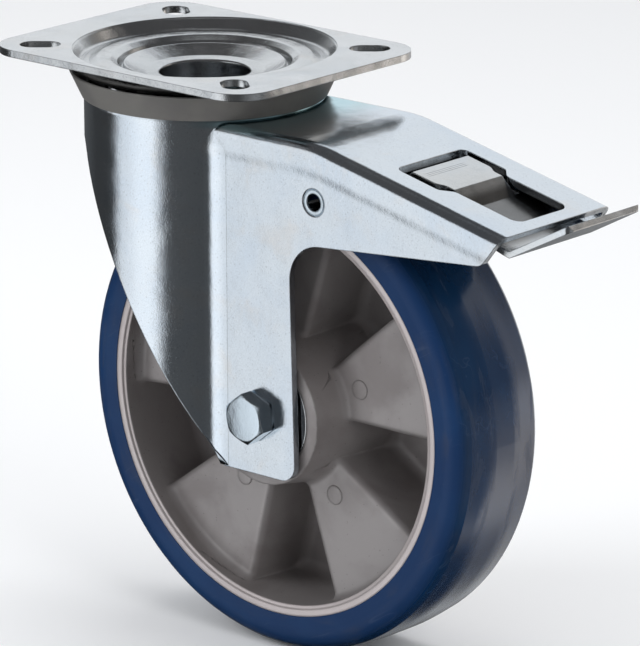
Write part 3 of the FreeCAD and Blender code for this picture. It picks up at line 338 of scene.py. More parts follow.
def zinc(name, colour=(0.74, 0.785, 0.825), cool=(0.60, 0.69, 0.80), straw=(0.78, 0.72, 0.66),
         rough=(0.12, 0.22), grain=0.00006, waves=0.00048, spots=0.25,
         pressed=None, coloured=None, pitted=None):
    """Zinc plate on steel. pressed gives a height that bends the sheet, coloured lays colour on one
    place (the crown's painted reflection, the lever's painted shade and scored lines), and pitted is
    the X up to which the sheet has small pits."""
    material, tree, surface, place = new_finish(name)
    patches = use_group(tree, clouds, Vector=place, Scale=26.0, Low=0.38, High=0.7)["Mask"]
    stains = use_group(tree, clouds, Vector=place, Scale=60.0, Low=0.52, High=0.78)["Mask"]
    handled = use_group(tree, scratches, Vector=place, Turn=(0.4, 0.9, 1.1), Scale=90.0, Stretch=0.08,
                        Width=0.010, Share=0.52)["Mask"]
    dots = use_group(tree, speckle, Vector=place, Scale=900.0, Size=0.34, Share=spots)["Mask"]
    edges = use_group(tree, rubbed, Vector=place, Radius=0.0006, Amount=0.7)
    fine, coarse = noise(tree, place, 1900.0, rough=0.6), noise(tree, place, 750.0)
    broad = noise(tree, place, 60.0, 2.0)
    tone = coats(
        tree, colour,
        (patches, 0.45, cool),
        (stains, 0.40, straw),
        (spread(tree, fine, 0.35, 0.65), 0.16, (0.45, 0.50, 0.56)),
        (dots, 0.30, (0.38, 0.40, 0.44)),
        (handled, 0.25, (0.88, 0.90, 0.93)),
        (edges["Mask"], 1.0, (0.84, 0.86, 0.88)),
    )
    if coloured:
        tone = coloured(tree, place, tone)
    tree.links.new(tone, surface.inputs["Base Color"])
    surface.inputs["Metallic"].default_value = 1.0
    tree.links.new(spread(tree, broad, 0.3, 0.7, *rough), surface.inputs["Roughness"])
    layers = [(broad, waves), (coarse, grain * 0.5), (fine, grain * 0.7)]
    if pitted:
        along = add(tree, "SeparateXYZ", {"Vector": place}).outputs[0]
        pits = use_group(tree, speckle, Vector=place, Scale=1500.0, Size=0.42, Share=0.55)["Mask"]
        reach = spread(tree, along, pitted + 0.005, pitted - 0.003)
        layers.append((times(tree, pits, reach), 0.000006))
    if pressed:
        layers.insert(0, pressed(tree, place))
    tree.links.new(join_bumps(tree, edges["Normal"], *layers), surface.inputs["Normal"])
    return material


# %% [markdown]
# ## Painted light and marks that belong to one place
#
# Two finishes have painted light and marks at one place only: the fork a painted blue-green
# reflection on its crown and a pressed ridge, and the lever painted shade in the window and
# three scored lines. All are found by how far a point lies under the roof of the fork. From
# the side, the roof is a level line and a falling one with a soft bend between them. A
# painted mask would do the same, but a formula stays sharp and needs no picture.

# %% Painted light and marks that belong to one place
ROOF_HEIGHT, ROOF_BEND, ROOF_FALL = -0.0195, 0.0862, 0.225
ROOF_BEND_SOFTNESS = 0.012
WINDOW_END = 0.175
FIRST_PAD_LINE, PAD_LINE_STEP, PAD_LINES = 0.1262, 0.0011, 3
PAD_LINES_MIDDLE, PAD_LINES_HALF = -0.002, 0.0115
CREASE_HEIGHT = 0.00042


def below_roof(tree, place):
    """The three coordinates, and how far a place lies under the line of the fork's roof."""
    parts = add(tree, "SeparateXYZ", {"Vector": place}).outputs
    past_bend = calc(tree, "SUBTRACT", parts[0], ROOF_BEND)
    past_bend = calc(tree, "SMOOTH_MAX", past_bend, 0.0, ROOF_BEND_SOFTNESS)
    roof_line = calc(tree, "MULTIPLY_ADD", past_bend, -ROOF_FALL, ROOF_HEIGHT)
    return parts, calc(tree, "SUBTRACT", roof_line, parts[2])


def crown_painted_reflection(tree, place, tone):
    """A painted blue-green reflection on the crown, in front of the roof's flat part."""
    parts, drop = below_roof(tree, place)
    crown = times(tree, spread(tree, parts[0], 0.076, 0.050), spread(tree, drop, 0.0030, 0.0010))
    behind_drum = spread(tree, parts[0], 0.024, 0.040)
    # Painted reflection: a blue-green colour laid on the crown's plating.
    return coats(tree, tone, (times(tree, crown, behind_drum), 0.75, (0.36, 0.64, 0.70)))


def lever_shade_and_lines(tree, place, tone):
    """Painted shade on what lies sunk in the roof's window, and the thin lines scored across the pad.
    """
    parts, drop = below_roof(tree, place)
    # Painted shade: the lever is darkened where it lies deep in the window.
    window_shade = times(tree, spread(tree, drop, 0.0009, 0.0035),
                 spread(tree, parts[0], WINDOW_END + 0.003, WINDOW_END - 0.003))
    steps = times(tree, calc(tree, "SUBTRACT", parts[0], FIRST_PAD_LINE), 1 / PAD_LINE_STEP)
    off_line = calc(tree, "ABSOLUTE", calc(tree, "SUBTRACT", calc(tree, "FRACT", steps), 0.5))
    counted = times(tree, calc(tree, "GREATER_THAN", steps, 0.0),
                    calc(tree, "LESS_THAN", steps, PAD_LINES))
    off_middle = calc(tree, "ABSOLUTE", calc(tree, "SUBTRACT", parts[1], PAD_LINES_MIDDLE))
    across = spread(tree, off_middle, PAD_LINES_HALF + 0.001, PAD_LINES_HALF - 0.001)
    on_pad = spread(tree, drop, 0.0022, 0.0016)
    scored = times(tree, spread(tree, off_line, 0.13, 0.07), counted, across, on_pad)
    return coats(tree, tone, (window_shade, 0.85, (0.13, 0.125, 0.12)), (scored, 0.85, (0.16, 0.16, 0.16)))


def roof_crease(tree, place):
    """Height of the ridge pressed along the roof's edge: it follows the roof's line on both legs."""
    parts, drop = below_roof(tree, place)
    ridge = times(tree, spread(tree, drop, 0.0140, 0.0092), spread(tree, drop, 0.0040, 0.0098))
    on_leg = spread(tree, calc(tree, "ABSOLUTE", parts[1]), 0.0325, 0.0335)
    return times(tree, ridge, on_leg, spread(tree, parts[0], 0.030, 0.044)), CREASE_HEIGHT


# %% Zinc finishes
finishes = {
    "zinc_plate": zinc("zinc on the plate", colour=(0.68, 0.685, 0.685), cool=(0.50, 0.53, 0.56),
                       rough=(0.12, 0.24), grain=0.00008, waves=0.00052, spots=0.5),
    "zinc_fork": zinc("zinc on the fork", rough=(0.07, 0.15), grain=0.00005, waves=0.00028, spots=0.4,
                      pressed=roof_crease, coloured=crown_painted_reflection, pitted=0.030),
    "zinc_lever": zinc("zinc on the lever", colour=(0.66, 0.66, 0.65), rough=(0.14, 0.26),
                       coloured=lever_shade_and_lines),
    "zinc_small": zinc("zinc on small parts", colour=(0.66, 0.74, 0.80), rough=(0.14, 0.24),
                       spots=0.15),
}
print("zinc finishes:", len(finishes))

# %% [markdown]
# ## Bare steel and cast aluminium
#
# The balls are ground and polished, and the races under the zinc stay dark with oil. The
# wheel's centre is die-cast: its skin is a brown grey with a soft sheen and tiny pores,
# and only the two rim faces are turned bright on a lathe. The rim is found by its distance
# from the axle, and the lathe's fine rings are a wave along that distance.

# %% Bare steel and cast aluminium
RIM_START, RIM_FACE = 0.0799, 0.02325
# In radians per metre of radius, so that one turned ring is 0.39 mm wide.
LATHE_WAVE = 16000.0


def bare_steel(name, colour, rough, stain):
    """Ground or oiled steel with faint stains."""
    material, tree, surface, place = new_finish(name)
    patches = use_group(tree, clouds, Vector=place, Scale=120.0, Low=0.4, High=0.7)["Mask"]
    tree.links.new(coats(tree, colour, (patches, 0.6, stain)), surface.inputs["Base Color"])
    surface.inputs["Metallic"].default_value = 1.0
    tree.links.new(spread(tree, patches, 0.0, 1.0, rough, rough + 0.12), surface.inputs["Roughness"])
    edges = use_group(tree, rubbed, Vector=place, Radius=0.0004, Amount=0.5)
    normal = join_bumps(tree, edges["Normal"], (noise(tree, place, 1500.0, 2.0), 0.00001))
    tree.links.new(normal, surface.inputs["Normal"])
    return material


def cast_aluminium(name):
    """Die-cast skin with turned rim faces."""
    material, tree, surface, place = new_finish(name)
    wheel = use_group(tree, on_wheel, Vector=place)
    rim = times(tree, spread(tree, wheel["Radius"], RIM_START - 0.0001, RIM_START + 0.0001),
                spread(tree, wheel["Side"], RIM_FACE - 0.00005, RIM_FACE + 0.00005))
    patches = use_group(tree, clouds, Vector=place, Scale=30.0, Low=0.4, High=0.68)["Mask"]
    pores = use_group(tree, speckle, Vector=place, Scale=700.0, Size=0.25, Share=0.12)["Mask"]
    # Painted shade: the casting's colour is darkened where its hollows are deep.
    painted_shade = use_group(tree, shade_in_hollows, Distance=0.03, Low=0.15, High=0.95)["Mask"]
    edges = use_group(tree, rubbed, Vector=place, Radius=0.0014, Amount=0.35)
    tone = coats(
        tree, (0.355, 0.33, 0.325),
        (patches, 1.0, (0.28, 0.255, 0.25)),
        (pores, 0.5, (0.14, 0.13, 0.13)),
        (painted_shade, 0.12, (0.20, 0.18, 0.18)),
        (edges["Mask"], 1.0, (0.62, 0.60, 0.58)),
        (rim, 1.0, (0.58, 0.52, 0.51)),
    )
    tree.links.new(tone, surface.inputs["Base Color"])
    surface.inputs["Metallic"].default_value = 0.6
    shine = spread(tree, rim, 0.0, 1.0, 0.46, 0.30, smooth=False)
    tree.links.new(calc(tree, "MULTIPLY_ADD", patches, 0.08, shine), surface.inputs["Roughness"])
    rings = calc(tree, "SINE", times(tree, wheel["Radius"], LATHE_WAVE))
    fine = noise(tree, place, 700.0, 4.0, 0.6)
    normal = join_bumps(tree, edges["Normal"], (fine, 0.00005), (times(tree, rings, rim), 0.000004))
    tree.links.new(normal, surface.inputs["Normal"])
    return material


finishes["ball_steel"] = bare_steel("ground steel", (0.70, 0.70, 0.71), 0.08, (0.55, 0.54, 0.53))
finishes["dark_steel"] = bare_steel("oiled steel", (0.16, 0.16, 0.17), 0.34, (0.26, 0.22, 0.18))
finishes["cast_aluminium"] = cast_aluminium("cast aluminium")
print("finishes so far:", len(finishes))

# %% [markdown]
# ## Rubber and plastics
#
# The tyre is cast polyurethane: deep blue, a little clearer at the side face than on the
# tread, which is glossy and scuffed lengthwise. The dust seal is a grey moulded plastic
# with a fine matt skin, and the bearings' own seals are black rubber.

# %% Rubber and plastics
TREAD_EDGE, SIDE_EDGE = 0.0205, 0.0235
SCUFF_STRETCH = 0.02


def polyurethane(name):
    """The blue tyre, with a satin side face and a glossy, scuffed tread."""
    material, tree, surface, place = new_finish(name)
    wheel = use_group(tree, on_wheel, Vector=place)
    side_face = spread(tree, wheel["Side"], TREAD_EDGE, SIDE_EDGE)
    on_tread = calc(tree, "SUBTRACT", 1.0, side_face)
    rolled_out = add(tree, "CombineXYZ", {
        "X": times(tree, wheel["Angle"], SCUFF_STRETCH),
        "Y": wheel["Side"],
        "Z": wheel["Radius"],
    }).outputs[0]
    patches = use_group(tree, clouds, Vector=place, Scale=26.0, Low=0.4, High=0.7)["Mask"]
    scuffs = use_group(tree, clouds, Vector=rolled_out, Scale=160.0, Low=0.5, High=0.75)["Mask"]
    marks = use_group(tree, scratches, Vector=place, Turn=(0.3, 0.5, 0.2), Scale=70.0, Stretch=0.1,
                      Width=0.01, Share=0.5)["Mask"]
    dust = use_group(tree, speckle, Vector=place, Scale=350.0, Size=0.18, Share=0.25)["Mask"]
    tread = blend(tree, patches, (0.003, 0.018, 0.052), (0.004, 0.025, 0.068))
    face = blend(tree, patches, (0.004, 0.026, 0.088), (0.006, 0.034, 0.106))
    tone = coats(
        tree, blend(tree, side_face, tread, face),
        (scuffs, 0.22, (0.07, 0.075, 0.09)),
        (marks, 0.10, (0.12, 0.16, 0.24)),
        (dust, 0.06, (0.12, 0.15, 0.20)),
    )
    tree.links.new(tone, surface.inputs["Base Color"])
    surface.inputs["IOR"].default_value = 1.5
    surface.inputs["Specular IOR Level"].default_value = 0.22
    surface.inputs["Coat Roughness"].default_value = 0.15
    gloss = times(tree, on_tread, spread(tree, scuffs, 0.0, 1.0, 1.0, 0.45))
    tree.links.new(gloss, surface.inputs["Coat Weight"])
    shine = calc(tree, "MULTIPLY_ADD", scuffs, 0.18, spread(tree, side_face, 0.0, 1.0, 0.20, 0.42))
    tree.links.new(shine, surface.inputs["Roughness"])
    edges = use_group(tree, rubbed, Vector=place, Radius=0.0008, Amount=0.3)
    normal = join_bumps(tree, edges["Normal"], (noise(tree, place, 60.0, 2.0), 0.0002),
                        (noise(tree, place, 600.0), 0.000006), (marks, -0.00002))
    tree.links.new(normal, surface.inputs["Normal"])
    return material


def moulded_plastic(name, colour, shade, rough):
    """Matt moulded plastic or rubber with a fine grain and edges rubbed lighter."""
    material, tree, surface, place = new_finish(name)
    patches = use_group(tree, clouds, Vector=place, Scale=45.0, Low=0.35, High=0.7)["Mask"]
    edges = use_group(tree, rubbed, Vector=place, Radius=0.0005, Amount=0.5)
    light = tuple(1.5 * part for part in colour)
    tone = coats(tree, colour, (patches, 1.0, shade), (edges["Mask"], 1.0, light))
    tree.links.new(tone, surface.inputs["Base Color"])
    tree.links.new(spread(tree, patches, 0.0, 1.0, rough, rough + 0.1), surface.inputs["Roughness"])
    normal = join_bumps(tree, edges["Normal"], (noise(tree, place, 1100.0), 0.00004))
    tree.links.new(normal, surface.inputs["Normal"])
    return material


finishes["blue_polyurethane"] = polyurethane("blue polyurethane")
SEAL_GREY, SEAL_SHADE = (0.145, 0.14, 0.13), (0.12, 0.115, 0.11)
RUBBER_BLACK, RUBBER_SHADE = (0.018, 0.018, 0.02), (0.03, 0.03, 0.03)
finishes["grey_plastic"] = moulded_plastic("grey plastic", SEAL_GREY, SEAL_SHADE, 0.45)
finishes["black_seal"] = moulded_plastic("black seal", RUBBER_BLACK, RUBBER_SHADE, 0.4)
print("finishes:", ", ".join(sorted(finishes)))

# %% [markdown]
# ## Dressing the CAD pieces
#
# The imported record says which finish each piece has, by the name of a material slot. Each
# CAD piece keeps its mesh, and only its material changes.

# %% Give each piece its finish
slot_of = {entry["node"]: entry["material_slot"] for entry in frame["record"]["subparts"]}
for name, piece in nodes.items():
    piece.data.materials.clear()
    piece.data.materials.append(finishes[slot_of[name]])
print("dressed:", len(slot_of), "pieces")

# %% [markdown]
# ## Pieces worked out as grids
#
# Every new piece is a grid of points: one direction runs along a profile and the other round
# an axis or along a path. The points come from numpy as whole arrays, which is quick and keeps
# each shape a short formula. Sculpting or box modelling would do too, but couldn't be
# measured. The last column of a grid always joins the first, and so does the last row where
# a shape is a ring.

# %% From grids to pieces
MM = 0.001


def grid_faces(rows, columns, wrap_rows=False):
    """Corner numbers of all the quads of a grid. Its columns close on themselves, and its rows
    where asked."""
    row = np.arange(rows if wrap_rows else rows - 1)[:, None]
    column = np.arange(columns)[None, :]
    next_row, next_column = (row + 1) % rows, (column + 1) % columns
    corners = [row * columns + column, next_row * columns + column,
               next_row * columns + next_column, row * columns + next_column]
    return np.stack([corner.ravel() for corner in corners], axis=1)


def new_piece(name, points, faces, finish, body, crease=35.0):
    """A closed mesh at the origin, in metres, from points in mm. It rides on a CAD body."""
    mesh = bpy.data.meshes.new(name)
    mesh.from_pydata((points.reshape(-1, 3) * MM).tolist(), [], faces.tolist())
    shape = bmesh.new()
    shape.from_mesh(mesh)
    bmesh.ops.remove_doubles(shape, verts=shape.verts, dist=1e-7)
    bmesh.ops.recalc_face_normals(shape, faces=shape.faces)
    shape.to_mesh(mesh)
    shape.free()
    mesh.shade_smooth()
    mesh.set_sharp_from_angle(angle=math.radians(crease))
    mesh.materials.append(finishes[finish])
    piece = bpy.data.objects.new(name, mesh)
    bpy.context.scene.collection.objects.link(piece)
    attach(piece, body)
    print("made", name, "with", len(mesh.polygons), "faces")
    return piece


def rounded(corners, steps):
    """A polyline with arcs at its corners, from (u, v, radius). Each arc touches both sides."""
    line = [np.array(corners[0][:2], float)[None]]
    for before, corner, after in zip(corners[:-2], corners[1:-1], corners[2:]):
        here = np.array(corner[:2], float)
        if len(corner) < 3:
            line.append(here[None])
            continue
        back = np.array(before[:2], float) - here
        on = np.array(after[:2], float) - here
        back, on = back / np.linalg.norm(back), on / np.linalg.norm(on)
        half = math.acos(np.clip(back @ on, -1, 1)) / 2
        middle = here + (back + on) / np.linalg.norm(back + on) * corner[2] / math.sin(half)
        start = here + back * corner[2] / math.tan(half) - middle
        end = here + on * corner[2] / math.tan(half) - middle
        share = np.linspace(0, 1, steps)[:, None]
        arc = start * (1 - share) + end * share
        line.append(middle + arc / np.linalg.norm(arc, axis=1)[:, None] * corner[2])
    line.append(np.array(corners[-1][:2], float)[None])
    return np.concatenate(line)


def even_steps(line, count):
    """The same polyline with a set number of points, evenly spaced along its length."""
    length = np.concatenate([[0], np.cumsum(np.linalg.norm(np.diff(line, axis=0), axis=1))])
    place = np.linspace(0, length[-1], count)
    return np.stack([np.interp(place, length, line[:, part]) for part in range(line.shape[1])], axis=1)


# %% [markdown]
# ## The wheel's centre
#
# The die-cast centre is a folded web. Five spokes face each side, and between them deep
# pockets go down almost to the skin of the other side's spokes. A grid that is bent round
# the axle gives this in one closed surface: along a column runs a profile from the hub over
# the web to the rim, and across a pocket's wall the spoke's profile turns into the pocket's
# one. Both profiles share the hub's cone and the rim's wall, so the walls meet them cleanly.

# %% Wheel centre
SPOKES = 5
SHARE_ANGLE = 360.0 / SPOKES
SPOKE_TURN = 20.0
POCKET_HALF = 16.0
SPOKE_HALF = SHARE_ANGLE / 2 - POCKET_HALF
WEB, FLOOR_BEYOND = 15.2, 11.9
FALL = WEB + FLOOR_BEYOND
HUB_END, HUB_CONE = 30.0, (28.9, 36.0)
RIM_EDGE, RIM_WALL, RIM_DRAFT = 23.4, 80.0, 1.2
SPOKE_ROUND, POCKET_ROUND = 3.4, 5.0
ARC_STEPS, FLANK_STEPS, WEB_STEPS, BACK_STEPS = 10, 14, 22, 12


def face_profile(height, fillet):
    """Radius and height from the hub's end over the web to the rim's edge, with two arcs."""
    cone = HUB_CONE[0] + (HUB_CONE[1] - HUB_CONE[0]) * (height + HUB_END) / (FLOOR_BEYOND + HUB_END)
    wall = RIM_WALL - RIM_DRAFT * (height + RIM_EDGE) / (FLOOR_BEYOND + RIM_EDGE)
    run = rounded([(HUB_CONE[0], -HUB_END), (cone, height, fillet), (wall, height, fillet),
                   (RIM_WALL, -RIM_EDGE)], ARC_STEPS)
    start, hub_arc, rim_arc, end = np.split(run, [1, 1 + ARC_STEPS, 1 + 2 * ARC_STEPS])
    flank = even_steps(np.concatenate([start, hub_arc[:1]]), FLANK_STEPS)
    web = even_steps(np.stack([hub_arc[-1], rim_arc[0]]), WEB_STEPS)
    back = even_steps(np.concatenate([rim_arc[-1:], end]), BACK_STEPS)
    return np.concatenate([flank[:-1], hub_arc, web[1:-1], rim_arc, back[1:]])


spoke_face = face_profile(-WEB, SPOKE_ROUND)
pocket_face = face_profile(FLOOR_BEYOND, POCKET_ROUND)
print("points along a face of the wheel:", len(spoke_face))

# %% [markdown]
# The wall between a spoke and its pocket is a short polyline of its own: how far it goes out
# sideways, and how deep it has fallen. A width in mm becomes an angle when it is divided by
# the radius, so the walls keep their thickness from the hub to the rim. Near the hub and the
# rim the columns slide back to even angles, where they meet the turned surfaces.

# %% Wheel centre: one side
WALL_LEAN, WALL_TOP_ROUND, WALL_FOOT_ROUND = 3.2, 2.8, 4.4
ON_SPOKE, ON_FLOOR = 3.4, 5.5
COLUMNS, SPOKE_COLUMNS, ROUND_STEPS, FALL_STEPS = 68, 8, 8, 12
wall_line = rounded([(-ON_SPOKE, 0.0), (0.0, 0.0, WALL_TOP_ROUND),
                     (WALL_LEAN, FALL, WALL_FOOT_ROUND), (WALL_LEAN + ON_FLOOR, FALL)], ROUND_STEPS)
falling = even_steps(wall_line[ROUND_STEPS:ROUND_STEPS + 2], FALL_STEPS)[1:-1]
wall_line = np.concatenate([wall_line[:1 + ROUND_STEPS], falling, wall_line[1 + ROUND_STEPS:]])
across_wall, share_wall = wall_line[:, 0], wall_line[:, 1] / FALL
pocket_columns = COLUMNS - SPOKE_COLUMNS - 2 * len(wall_line)


def side_face():
    """Radius, height and angle of one side's face: rows run outwards, columns round the axle."""
    out = np.degrees(across_wall[None, :] / spoke_face[:, :1])
    spoke = np.linspace(-1, 1, SPOKE_COLUMNS + 2)[None, 1:-1] * (SPOKE_HALF + out[:, :1])
    pocket = np.linspace(-1, 1, pocket_columns + 2)[None, 1:-1] * (POCKET_HALF - out[:, -1:])
    wall = SPOKE_HALF + out
    angle = np.concatenate([spoke, wall, pocket + SHARE_ANGLE / 2, SHARE_ANGLE - wall[:, ::-1]], axis=1)
    flat_spoke, flat_pocket = np.zeros(SPOKE_COLUMNS), np.ones(pocket_columns)
    depth = np.concatenate([flat_spoke, share_wall, flat_pocket, share_wall[::-1]])[None, :, None]
    line = spoke_face[:, None, :] * (1 - depth) + pocket_face[:, None, :] * depth
    even = np.arange(COLUMNS)[None, :] * SHARE_ANGLE / COLUMNS - SPOKE_HALF
    row = np.arange(len(spoke_face))[:, None]
    from_hub, from_rim = row / (FLANK_STEPS - 1), row[::-1] / (BACK_STEPS - 1)
    slide = np.clip(from_hub, 0, 1) * np.clip(from_rim, 0, 1)
    angle = angle * slide + even * (1 - slide)
    turns = (np.arange(SPOKES) * SHARE_ANGLE)[None, :, None]
    angle = (angle[:, None, :] + turns).reshape(len(angle), -1)
    return *np.tile(line.transpose(2, 0, 1), SPOKES), angle


radius, height, angle = side_face()
print("grid of one side:", radius.shape)

# %% Wheel centre: closed casting
def on_axle_line(radius, height, angle):
    """Points in mm from polar places round the axle, with angles in degrees from +X to +Z."""
    turned_by = np.radians(angle)
    place_x = radius * np.cos(turned_by) + AXLE[0] / MM
    place_z = radius * np.sin(turned_by) + AXLE[2] / MM
    return np.stack([place_x, height + 0 * place_x, place_z], axis=-1)


def lathe_rows(profile, angle):
    """Points of a (radius, height) profile that is turned about the axle, at the given angles."""
    rows = np.array(profile)
    return on_axle_line(rows[:, :1] + 0 * angle, rows[:, 1:] + 0 * angle, angle + 0 * rows[:, :1])


SEAT, BORE = 23.55, 19.0
rim_band = [(81.4, -23.4), (81.55, -24.2), (84.35, -24.2),
            (84.35, 24.2), (81.55, 24.2), (81.4, 23.4)]
hub_bore = [(28.2, 29.9), (27.4, 30.0), (SEAT, 30.0), (SEAT, 16.0), (BORE, 16.0), (BORE, -16.0),
            (SEAT, -16.0), (SEAT, -30.0), (27.4, -30.0), (28.2, -29.9)]
half_share = COLUMNS // 2
far_side = np.roll(np.stack([radius, -height, angle])[:, ::-1], half_share, axis=2)
wrapped = np.where(np.arange(radius.shape[1]) < half_share, 360.0, 0.0)[None, :]
far_angle = far_side[2] - wrapped + SHARE_ANGLE / 2 + SPOKE_TURN
near_angle = angle + SPOKE_TURN
points = np.concatenate([
    on_axle_line(radius, height, near_angle),
    lathe_rows(rim_band, near_angle[-1:]),
    on_axle_line(far_side[0], far_side[1], far_angle),
    lathe_rows(hub_bore, near_angle[:1]),
])
faces = grid_faces(points.shape[0], points.shape[1], wrap_rows=True)
wheel_piece = new_piece("wheel_centre_casting", points, faces, "cast_aluminium", "wheel", crease=50.0)
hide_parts("wheel_centre")

# %% [markdown]
# ## Ejector marks
#
# Pins push the casting out of its die and leave a round mark on each spoke. Ten low discs
# do it: a short turned profile whose axis is parallel to the axle.

# %% Ejector marks
MARK_RADIUS, MARK_PLACE, MARK_RISE = 4.0, 40.8, 0.35
MARK_FOOT = -0.6
disc = rounded([(0.0, MARK_RISE), (MARK_RADIUS, MARK_RISE, 0.25), (MARK_RADIUS + 0.1, MARK_FOOT),
                (0.0, MARK_FOOT)], 4)
around = np.radians(np.arange(40) * 9.0)[None, :]
marks, mark_faces = [], []
for side, first in ((-1, SPOKE_TURN), (1, SPOKE_TURN + SHARE_ANGLE / 2)):
    for spoke in range(SPOKES):
        at = math.radians(first + SHARE_ANGLE * spoke)
        x = AXLE[0] / MM + MARK_PLACE * math.cos(at) + disc[:, :1] * np.cos(around)
        z = AXLE[2] / MM + MARK_PLACE * math.sin(at) + disc[:, :1] * np.sin(around)
        y = side * (WEB + disc[:, 1:]) + 0 * x
        mark_faces.append(grid_faces(*x.shape) + len(marks) * x.size)
        marks.append(np.stack([x, y, z], axis=-1))
mark_points, mark_faces = np.concatenate(marks), np.concatenate(mark_faces)
new_piece("ejector_marks", mark_points, mark_faces, "cast_aluminium", "wheel")

# %% [markdown]
# ## The dish of the plate
#
# Round the king pin the plate has a raised bead between two soft steps. It is a profile
# turned about the swivel axis, and it lies on the floor of the CAD plate's dish.

# %% Dish bead
bead = rounded([(48.4, -6.0), (48.4, -4.97), (46.2, -4.97, 1.0), (43.2, -3.75, 1.8), (37.8, -3.75, 2.4),
                (35.0, -5.5, 0.5), (33.6, -8.1), (33.6, -9.2)], 8)
around = np.radians(np.arange(240) * 1.5)[None, :]
points = np.stack([bead[:, :1] * np.cos(around), bead[:, :1] * np.sin(around),
                   bead[:, 1:] + 0 * around], axis=-1)
new_piece("dish_bead", points, grid_faces(*points.shape[:2], wrap_rows=True), "zinc_plate", "plate")

# %% [markdown]
# ## The valleys of the fork
#
# Pressed sheet can't meet in a sharp corner. Between the round front and each flat leg runs
# a hollow bend. Its section is a Bezier curve that leaves the front on the front's own
# slope and reaches the leg flat, with a few points under the sheet that close it. The
# section is swept straight down. It sinks into the sheet at the roof, and ends along the
# slanted front edge of the leg. An arc would be shorter to write, but it can't touch both
# surfaces here, and a line of light would show where it meets them.

# %% Valleys
LEG_FACE = 34.0
SLANT_TOP, SLANT_FOOT = (-31.0, -35.5), (37.9, -159.0)
VALLEY_TOP, VALLEY_FOOT = -21.5, -158.6
BEND_POINTS = np.array([(30.7, 37.45), (33.0, 35.35), (36.0, 34.05), (42.0, 34.0)])
UNDER_SHEET = [(42.0, 33.2), (34.6, 33.0), (31.4, 36.2)]
SINK_AT_ROOF, SINK_SHARE, EDGE_OVERLAP = 1.6, 0.06, 0.4
share = np.linspace(0, 1, 24)[:, None]
rest = 1 - share
weights = np.hstack([rest ** 3, 3 * share * rest ** 2, 3 * share ** 2 * rest, share ** 3])
section = np.concatenate([weights @ BEND_POINTS, UNDER_SHEET])
level = np.linspace(0, 1, 60)[:, None]
x = section[None, :, 0] + 0 * level
y = section[None, :, 1] - SINK_AT_ROOF * (1 - np.clip(level / SINK_SHARE, 0, 1)) ** 2
slant_slope = (SLANT_FOOT[1] - SLANT_TOP[1]) / (SLANT_FOOT[0] - SLANT_TOP[0])
slant = SLANT_TOP[1] + (x - SLANT_TOP[0]) * slant_slope
z = VALLEY_TOP + (np.maximum(slant + EDGE_OVERLAP, VALLEY_FOOT) - VALLEY_TOP) * level
for name, side in (("near", -1), ("far", 1)):
    column = np.stack([x, side * y, z], axis=-1)
    ends = column[[0, -1]].mean(axis=1, keepdims=True).repeat(len(section), axis=1)
    points = np.concatenate([ends[:1], column, ends[1:]])
    new_piece(f"valley_{name}", points, grid_faces(*points.shape[:2]), "zinc_fork", "fork")

# %% [markdown]
# ## The axle bolt
#
# A hexagon bolt is a turned blank whose head is pressed to six flats. The radius of a
# hexagon at an angle is its half width over the cosine of the angle to the nearest flat's
# middle, and the chamfer is a flat cone that takes off the six corners. The thread is the
# same idea: its radius falls and rises once per pitch and turns with the angle.

# %% Bolt
FLATS, HEAD, HEAD_TURN = 18.0, 7.5, 8.9
FACE_RADIUS, CHAMFER_SLOPE = 8.55, 0.58
WASHER_FACE, SHANK = 8.9, 6.0
PITCH, THREAD_DEPTH, THREAD_START, THREAD_END = 1.75, 0.95, 41.0, 48.4
END_RADIUS, END = 4.9, 49.0
column = HEAD_TURN + np.arange(144) * 2.5
to_flat = (column - HEAD_TURN + 30.0) % 60.0 - 30.0
hexagon = (FLATS / 2) / np.cos(np.radians(np.abs(to_flat)))[None, :]
flat = np.ones_like(hexagon)
top = -LEG_FACE - HEAD
head_rows = [
    (0 * flat, top * flat),
    (FACE_RADIUS * 0.97 * flat, top * flat),
    (FACE_RADIUS * flat, (top + 0.05) * flat),
    (hexagon, top + 0.1 + (hexagon - FACE_RADIUS) * CHAMFER_SLOPE),
    (hexagon, (-LEG_FACE - 0.7) * flat),
    (WASHER_FACE * flat, (-LEG_FACE - 0.6) * flat),
    (WASHER_FACE * flat, (-LEG_FACE + 0.1) * flat),
    (SHANK * flat, (-LEG_FACE + 0.1) * flat),
    (SHANK * flat, (THREAD_START - 1.0) * flat),
]
along = np.linspace(THREAD_START, THREAD_END, 75)[:, None]
phase = (along / PITCH - column[None, :] / 360.0) % 1.0
thread = SHANK - THREAD_DEPTH * np.abs(2 * phase - 1) * np.clip(THREAD_END + 0.2 - along, 0.25, 1)
end_rows = [(END_RADIUS * flat, END * flat), (0 * flat, END * flat)]
bolt_radius, bolt_height = map(np.concatenate, zip(*head_rows, (thread, along + 0 * thread), *end_rows))
points = on_axle_line(bolt_radius, bolt_height, column[None, :] + 0 * bolt_radius)
faces = grid_faces(*points.shape[:2])
bolt_piece = new_piece("hexagon_bolt", points, faces, "zinc_small", "fork", crease=22.0)
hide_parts("axle_bolt")

# %% [markdown]
# ## Floor, backdrop and light
#
# The studio is a white table. The camera sees plain white behind the castor, and the table
# keeps the castor's soft shadow. What plated metal shows is mostly what stands around it: a
# bright wall on the left, the dark room behind the camera, a bright wall behind the castor,
# one warm patch on the right that the tread shows, and a dark ceiling. That room is worked
# out in the world's own node tree from the direction of each ray, as two rings of light
# and a lid. Only reflections see it. Matt surfaces get an even light and three soft boxes,
# which are left out of the reflections. A picture of a real studio would do the same, but
# numbers can be set one by one against what each surface of the castor shows.

